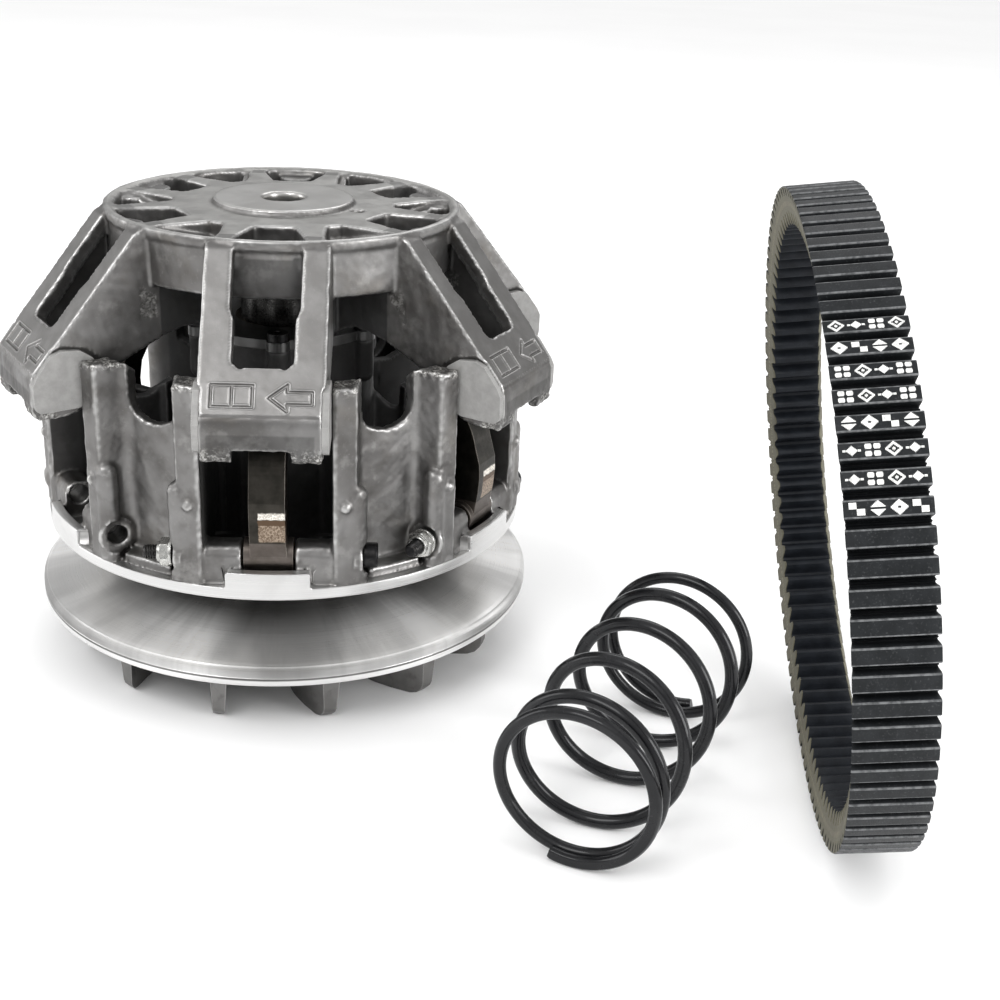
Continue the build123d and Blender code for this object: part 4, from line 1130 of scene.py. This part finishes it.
def weight_material():
    """Dark heat-treated steel with a band and patch of wear low on its outer face, both lightened
    by painted highlight, the band to near white.
    """
    mat = Material("flyweight_steel")
    x, y, z = mat.xyz()
    radius = mat.radius()
    angle = mat.sub(mat.azimuth(x, y), math.radians(FIRST_ARM))
    angle = mat.math("WRAP", angle, math.radians(30), math.radians(-30))
    across = mat.mul(radius, mat.math("SINE", angle))
    broad = mat.noise(scale=160.0)
    fine = mat.noise(scale=1300.0, rough=0.65)
    base = mat.tones(broad, over=(0.3, 0.7), low=(0.026, 0.0245, 0.021), high=(0.05, 0.046, 0.04))
    boss = mat.ramp(z, over=(0.0838, 0.0832))
    base = mat.mix(boss, base, mat.tones(broad, over=(0.3, 0.7), low=(0.1, 0.086, 0.076),
                                         high=(0.14, 0.122, 0.11)))
    # lighter edges: partly wear, partly painted highlight
    base = mat.mix(mat.mul(mat.edges(0.5), 0.6), base, (0.3, 0.27, 0.24))
    # areas of wear lightened by painted highlight, with ragged borders, by place in metres
    ragged = mat.mul(mat.sub(mat.noise(scale=500.0, rough=0.6), 0.5), 0.0016)
    across = mat.add(across, ragged)
    height = mat.add(z, ragged)
    side = mat.mul(mat.ramp(across, over=(-0.0036, -0.0031)),
                   mat.ramp(radius, over=(0.0952, 0.0958)))

    def wear_and_sheen(bottom, top):
        return mat.mul(side, mat.mul(mat.ramp(height, over=bottom), mat.ramp(height, over=top)))

    band = wear_and_sheen(bottom=(0.0939, 0.0945), top=(0.0972, 0.0962))
    patch = wear_and_sheen(bottom=(0.0838, 0.0846), top=(0.0918, 0.0913))
    strip = wear_and_sheen(bottom=(0.0838, 0.0846), top=(0.0942, 0.0938))
    base = mat.mix(strip, base, (0.11, 0.074, 0.05))
    speck = mat.ramp(mat.noise(scale=1500.0, detail=4.0, rough=0.75), over=(0.42, 0.6))
    # painted highlight on the patch and on the band
    base = mat.mix(mat.mul(patch, mat.add(mat.mul(speck, 0.62), 0.06)), base, (0.5, 0.41, 0.32))
    base = mat.mix(mat.mul(band, mat.ramp(speck, over=(0.0, 1.0), to=(0.55, 1.0))), base,
                   (0.93, 0.88, 0.8))
    rough = mat.mix_value(mat.math("MAXIMUM", band, patch),
                          mat.linear(fine, over=(0.3, 0.7), to=(0.34, 0.5)), 0.36)
    return mat.set(Base_Color=base, Metallic=1.0, Roughness=rough,
                   Normal=mat.bump(fine, strength=0.22, mm=0.12, normal=mat.bevel(0.45)))


def shoe_material():
    mat = Material("shoe_polymer")
    fine = mat.noise(scale=1800.0, detail=2.0, rough=0.5)
    base = mat.tones(mat.noise(scale=220.0, detail=4.0, rough=0.6), over=(0.3, 0.7),
                     low=(0.235, 0.231, 0.225), high=(0.3, 0.296, 0.288))
    base = mat.tint(base, mat.noise(scale=420.0, detail=5.0, rough=0.7), over=(0.58, 0.75),
                    amount=0.3, colour=(0.2, 0.195, 0.185))
    # lighter edges: partly wear, partly painted highlight
    base = mat.mix(mat.mul(mat.edges(0.4), 0.5), base, (0.6, 0.595, 0.58))
    return mat.set(Base_Color=base, Metallic=0.0,
                   Roughness=mat.linear(fine, over=(0.3, 0.7), to=(0.38, 0.55)),
                   Specular_IOR_Level=0.5,
                   Normal=mat.bump(fine, strength=0.15, mm=0.06, normal=mat.bevel(0.5)))


def rubber_material(name, low, high, light):
    """Rubber with pale edges, a painted highlight with some wear, darkened into the grooves by
    painted shade.
    """
    mat = Material(name)
    along, depth, across, edge = map(mat.attribute, ("along", "depth", "across", "edge"))
    place_on_belt = mat.vector(mat.mul(along, 1.0), mat.mul(across, 1.0), depth)
    broad = mat.noise(scale=0.16, detail=4.0, rough=0.6, at=place_on_belt)
    fine = mat.noise(scale=1400.0, rough=0.6)
    cloth = mat.noise_at(mat.mul(along, 0.5), mat.mul(across, 5.5), 0.0, detail=2.0, rough=0.5)
    base = mat.tones(broad, over=(0.3, 0.7), low=low, high=high)
    base = mat.tint(base, fine, over=(0.55, 0.8), amount=0.2, colour=light)
    # painted highlight on the cog edges, broken up like wear
    wear_and_sheen = mat.mul(mat.ramp(edge, over=(0.35, 0.9)),
                   mat.ramp(mat.noise(scale=0.5, rough=0.6, at=place_on_belt),
                            over=(0.3, 0.65), to=(0.35, 1.0)))
    base = mat.mix(mat.mul(wear_and_sheen, 0.8), base, light)
    # painted shade darkening the rubber into the grooves
    painted_groove_shade = mat.mul(mat.ramp(depth, over=(0.4, 3.0)), 0.65)
    base = mat.mix(mat.mul(painted_groove_shade, mat.ramp(depth, over=(8.0, 6.0))), base, (0.004, 0.0045, 0.005))
    return mat.set(Base_Color=base, Metallic=0.0,
                   Roughness=mat.linear(cloth, over=(0.3, 0.7), to=(0.4, 0.55)),
                   Specular_IOR_Level=0.17,
                   Normal=mat.bump(mat.add(fine, mat.mul(cloth, 0.5)), strength=0.25, mm=0.08))


def belt_side_material():
    """Cut edge of the belt: cord line, cloth layers and fibres in the rubber."""
    mat = Material("belt_edge")
    along, depth = map(mat.attribute, ("along", "depth"))
    layers = mat.noise_at(mat.mul(along, 1.1), mat.mul(depth, 5.0), 0.0, detail=4.0, rough=0.7)
    fibres = mat.noise_at(mat.mul(along, 6.0), mat.mul(depth, 7.0), 5.0, detail=3.0, rough=0.7)
    base = mat.tones(layers, over=(0.3, 0.7), low=(0.078, 0.073, 0.048), high=(0.13, 0.121, 0.08))
    base = mat.tint(base, fibres, over=(0.5, 0.75), amount=0.5, colour=(0.22, 0.205, 0.14))
    cord = mat.mul(mat.ramp(depth, over=(5.3, 5.6)), mat.ramp(depth, over=(7.3, 7.0)))
    strands = mat.noise_at(mat.mul(along, 0.9), 0.0, 2.0, detail=1.0, rough=0.5)
    base = mat.mix(mat.mul(cord, 0.5), base,
                   mat.mix(mat.ramp(strands, over=(0.45, 0.55)), (0.26, 0.235, 0.165),
                           (0.085, 0.075, 0.05)))
    base = mat.tint(base, mat.noise(scale=40.0, detail=5.0, rough=0.65), over=(0.45, 0.72),
                    amount=0.55, colour=(0.05, 0.046, 0.032))
    return mat.set(Base_Color=base, Metallic=0.0,
                   Roughness=mat.linear(fibres, over=(0.3, 0.7), to=(0.55, 0.8)),
                   Specular_IOR_Level=0.35,
                   Normal=mat.bump(mat.add(layers, fibres), strength=0.35, mm=0.12))


def spring_material():
    """Black enamel with small chips."""
    mat = Material("spring_enamel")
    broad = mat.noise(scale=90.0, detail=4.0, rough=0.6)
    base = mat.tones(broad, over=(0.3, 0.7), low=(0.006, 0.006, 0.007), high=(0.013, 0.013, 0.014))
    base = mat.tint(base, mat.noise(scale=900.0, detail=5.0, rough=0.75), over=(0.68, 0.74),
                    amount=0.35, colour=(0.1, 0.095, 0.09))
    return mat.set(Base_Color=base, Metallic=0.0,
                   Roughness=mat.linear(broad, over=(0.3, 0.7), to=(0.2, 0.3)),
                   Specular_IOR_Level=0.2, Coat_Weight=0.22, Coat_Roughness=0.08,
                   Coat_Tint=(0.9, 0.95, 1.0),
                   Normal=mat.bump(mat.noise(scale=700.0, rough=0.6), strength=0.1, mm=0.08))


def print_material():
    mat = Material("mark_ink")
    fine = mat.noise(scale=900.0, detail=4.0, rough=0.7)
    base = mat.tones(fine, over=(0.42, 0.7), low=(0.8, 0.8, 0.78), high=(0.5, 0.5, 0.49))
    return mat.set(Base_Color=base, Metallic=0.0, Roughness=0.6,
                   Normal=mat.bump(fine, strength=0.3, mm=0.05))


def roller_material():
    mat = Material("roller_polymer")
    fine = mat.noise(scale=800.0, rough=0.6)
    base = mat.tones(fine, over=(0.35, 0.7), low=(0.016, 0.016, 0.017), high=(0.03, 0.03, 0.031))
    return mat.set(Base_Color=base, Metallic=0.0,
                   Roughness=mat.linear(fine, over=(0.3, 0.7), to=(0.35, 0.5)),
                   Normal=mat.bump(fine, strength=0.15, mm=0.05, normal=mat.bevel(0.4)))


def floor_material():
    mat = Material("studio_floor_paper")
    base = mat.tones(mat.noise(scale=3.0, rough=0.5), over=(0.3, 0.7), low=(0.94, 0.94, 0.94),
                     high=(0.96, 0.96, 0.96))
    return mat.set(Base_Color=base, Roughness=0.75, Specular_IOR_Level=0.1)


# ---- assemble ----------------------------------------------------------------------------
def paint_built(cup, sheave, rim, bolts, nuts, spring, marks):
    cast = cast_material()
    paint(cup, cast)
    paint(sheave, cast)
    paint(rim, turned_material("rim_turned", tone=0.86, rough=0.3, anisotropy=0.4,
                               grooves=0.015))
    paint(NODES["fixed_sheave"], fixed_sheave_material())
    paint(bolts, steel_material("black_oxide", low=(0.018, 0.018, 0.019),
                                high=(0.035, 0.034, 0.034), rough=0.34,
                                edge=(0.16, 0.155, 0.15), scale=400.0))
    paint(nuts, steel_material("zinc_plate", low=(0.42, 0.42, 0.405), high=(0.56, 0.556, 0.53),
                               rough=0.24, edge=(0.8, 0.8, 0.78), scale=220.0, bump=0.06))
    paint(spring, spring_material())
    paint(marks, print_material())


def paint_cad():
    """Materials of the CAD pieces that are kept, by whole name or by its beginning."""
    ground = steel_material("ground_steel", low=(0.42, 0.415, 0.405), high=(0.56, 0.555, 0.545),
                            rough=0.2, edge=(0.8, 0.8, 0.79), bevel=0.3, scale=120.0,
                            scratch=0.25)
    bronze = steel_material("sintered_bronze", low=(0.42, 0.27, 0.13), high=(0.56, 0.37, 0.19),
                            rough=0.38, edge=(0.75, 0.55, 0.33), scale=900.0)
    zinc = steel_material("zinc_small", low=(0.45, 0.45, 0.43), high=(0.6, 0.6, 0.57),
                          rough=0.3, edge=(0.8, 0.8, 0.78), scale=500.0)
    black = steel_material("black_steel", low=(0.02, 0.02, 0.021), high=(0.04, 0.039, 0.039),
                           rough=0.36, edge=(0.2, 0.195, 0.19), scale=400.0)
    turned = turned_material("turned_small", tone=0.17, rough=0.34, anisotropy=0.5)
    oiled = steel_material("oiled_steel", low=(0.05, 0.049, 0.047), high=(0.09, 0.088, 0.085),
                           rough=0.3, edge=(0.3, 0.295, 0.29), bevel=0.3, scale=160.0,
                           scratch=0.2)
    dark_bronze = steel_material("oiled_bronze", low=(0.06, 0.045, 0.03), high=(0.1, 0.075, 0.05),
                                 rough=0.34, edge=(0.25, 0.19, 0.12), scale=900.0)
    weight = weight_material()
    by_name = {"lower_bushing": dark_bronze, "upper_bushing": dark_bronze, "idler_bush": bronze,
               "roller_washers": zinc, "slider_shoes": shoe_material(), "drive_shaft": oiled,
               "roller_pins": ground, "idler_sleeve": ground, "spring_cap": turned,
               "spring_seat": turned}
    by_start = (("flyweight", weight), ("weight_bush", bronze), ("roller_bush", bronze),
                ("tuning_rivet", zinc), ("roller_", roller_material()), ("", black))
    done = ("governor_cup", "sliding_sheave", "pivot_bolts", "pivot_nuts", "return_spring",
            "drive_belt", "fixed_sheave")
    for name, obj in NODES.items():
        if name not in done:
            start = next(material for text, material in by_start if name.startswith(text))
            paint(obj, by_name.get(name, start))


# ---- floor, light, camera ----------------------------------------------------------------
def build_floor():
    mesh = bpy.data.meshes.new("studio_floor")
    with editing(mesh) as bm:
        bmesh.ops.create_grid(bm, x_segments=40, y_segments=40, size=9.0)
    floor = add_object("studio_floor", mesh)
    paint(floor, floor_material())


def build_world():
    """White to the camera and to diffuse light; reflections see a shaded studio."""
    world = bpy.data.worlds.new("studio")
    world.use_nodes = True
    SCENE.world = world
    sky = Nodes(world.node_tree)
    output = sky.node("ShaderNodeOutputWorld")
    background = sky.node("ShaderNodeBackground")
    direction = sky.node("ShaderNodeSeparateXYZ")
    sky.fill(direction, sky.node("ShaderNodeTexCoord").outputs["Generated"])
    ray = sky.node("ShaderNodeLightPath").outputs
    x, y, z = direction.outputs
    overhead = sky.ramp(z, over=(0.0, 0.95), to=(0.30, 0.95))
    sides = sky.mul(sky.ramp(sky.math("ABSOLUTE", x), over=(0.35, 0.9)),
                    sky.ramp(z, over=(-0.1, 0.5), to=(1.0, 0.25)))
    front = sky.mul(sky.ramp(y, over=(-0.2, -0.9)), 0.16)
    studio = sky.add(sky.add(overhead, sky.mul(sides, 0.55)), front)
    plain = sky.math("MAXIMUM", ray["Is Camera Ray"], ray["Is Diffuse Ray"])
    value = sky.add(sky.mul(studio, sky.sub(1.0, plain)), sky.mul(plain, 1.0))
    grey = sky.fill(sky.node("ShaderNodeCombineColor"), value, value, value)
    sky.put(output.inputs[0], sky.fill(background, grey, 1.0))


def area_light(name, location, target, size, power):
    data = bpy.data.lights.new(name, "AREA")
    data.shape = "RECTANGLE"
    data.size, data.size_y = size
    data.energy = power
    light = add_object(name, data)
    light.location = location
    heading = Vector(target) - Vector(location)
    light.rotation_euler = heading.to_track_quat("-Z", "Y").to_euler()
    light.visible_camera = False


def build_lights():
    area_light("key_box", location=(-0.9, -1.5, 1.9), target=(0.05, -0.05, 0.08),
               size=(1.3, 1.0), power=22.0)
    area_light("right_box", location=(1.5, -0.75, 0.6), target=(0.1, 0.0, 0.03),
               size=(0.8, 0.9), power=17.0)
    area_light("left_box", location=(-1.6, 0.1, 0.6), target=(0.0, 0.0, 0.04),
               size=(0.6, 1.0), power=6.0)
    area_light("back_strip", location=(0.2, 1.6, 1.5), target=(0.05, 0.0, 0.1),
               size=(1.6, 0.5), power=7.0)


def build_camera():
    data = bpy.data.cameras.new("photo_camera")
    data.lens = 52.2
    data.sensor_width = 36.0
    data.clip_start = 0.02
    data.clip_end = 50.0
    camera = add_object("photo_camera", data)
    tilt = Matrix.Rotation(math.radians(66.6), 3, "X")
    roll = Matrix.Rotation(math.radians(2.7), 3, "Z")
    location = Vector((0.0964, -0.606, 0.326))
    camera.matrix_world = Matrix.Translation(location) @ (tilt @ roll).to_4x4()
    SCENE.camera = camera
    SCENE.view_settings.view_transform = "Standard"
    SCENE.view_settings.look = "None"
    SCENE.view_settings.exposure = 0.0


cup = build_cup()
sheave = build_sheave()
rim = build_rim()
bolts, nuts = build_bolts()
spring = build_spring()
build_belt()
marks = build_marks()
paint_built(cup, sheave, rim, bolts, nuts, spring, marks)
paint_cad()
build_floor()
build_world()
build_lights()
build_camera()

bpy.context.view_layer.update()
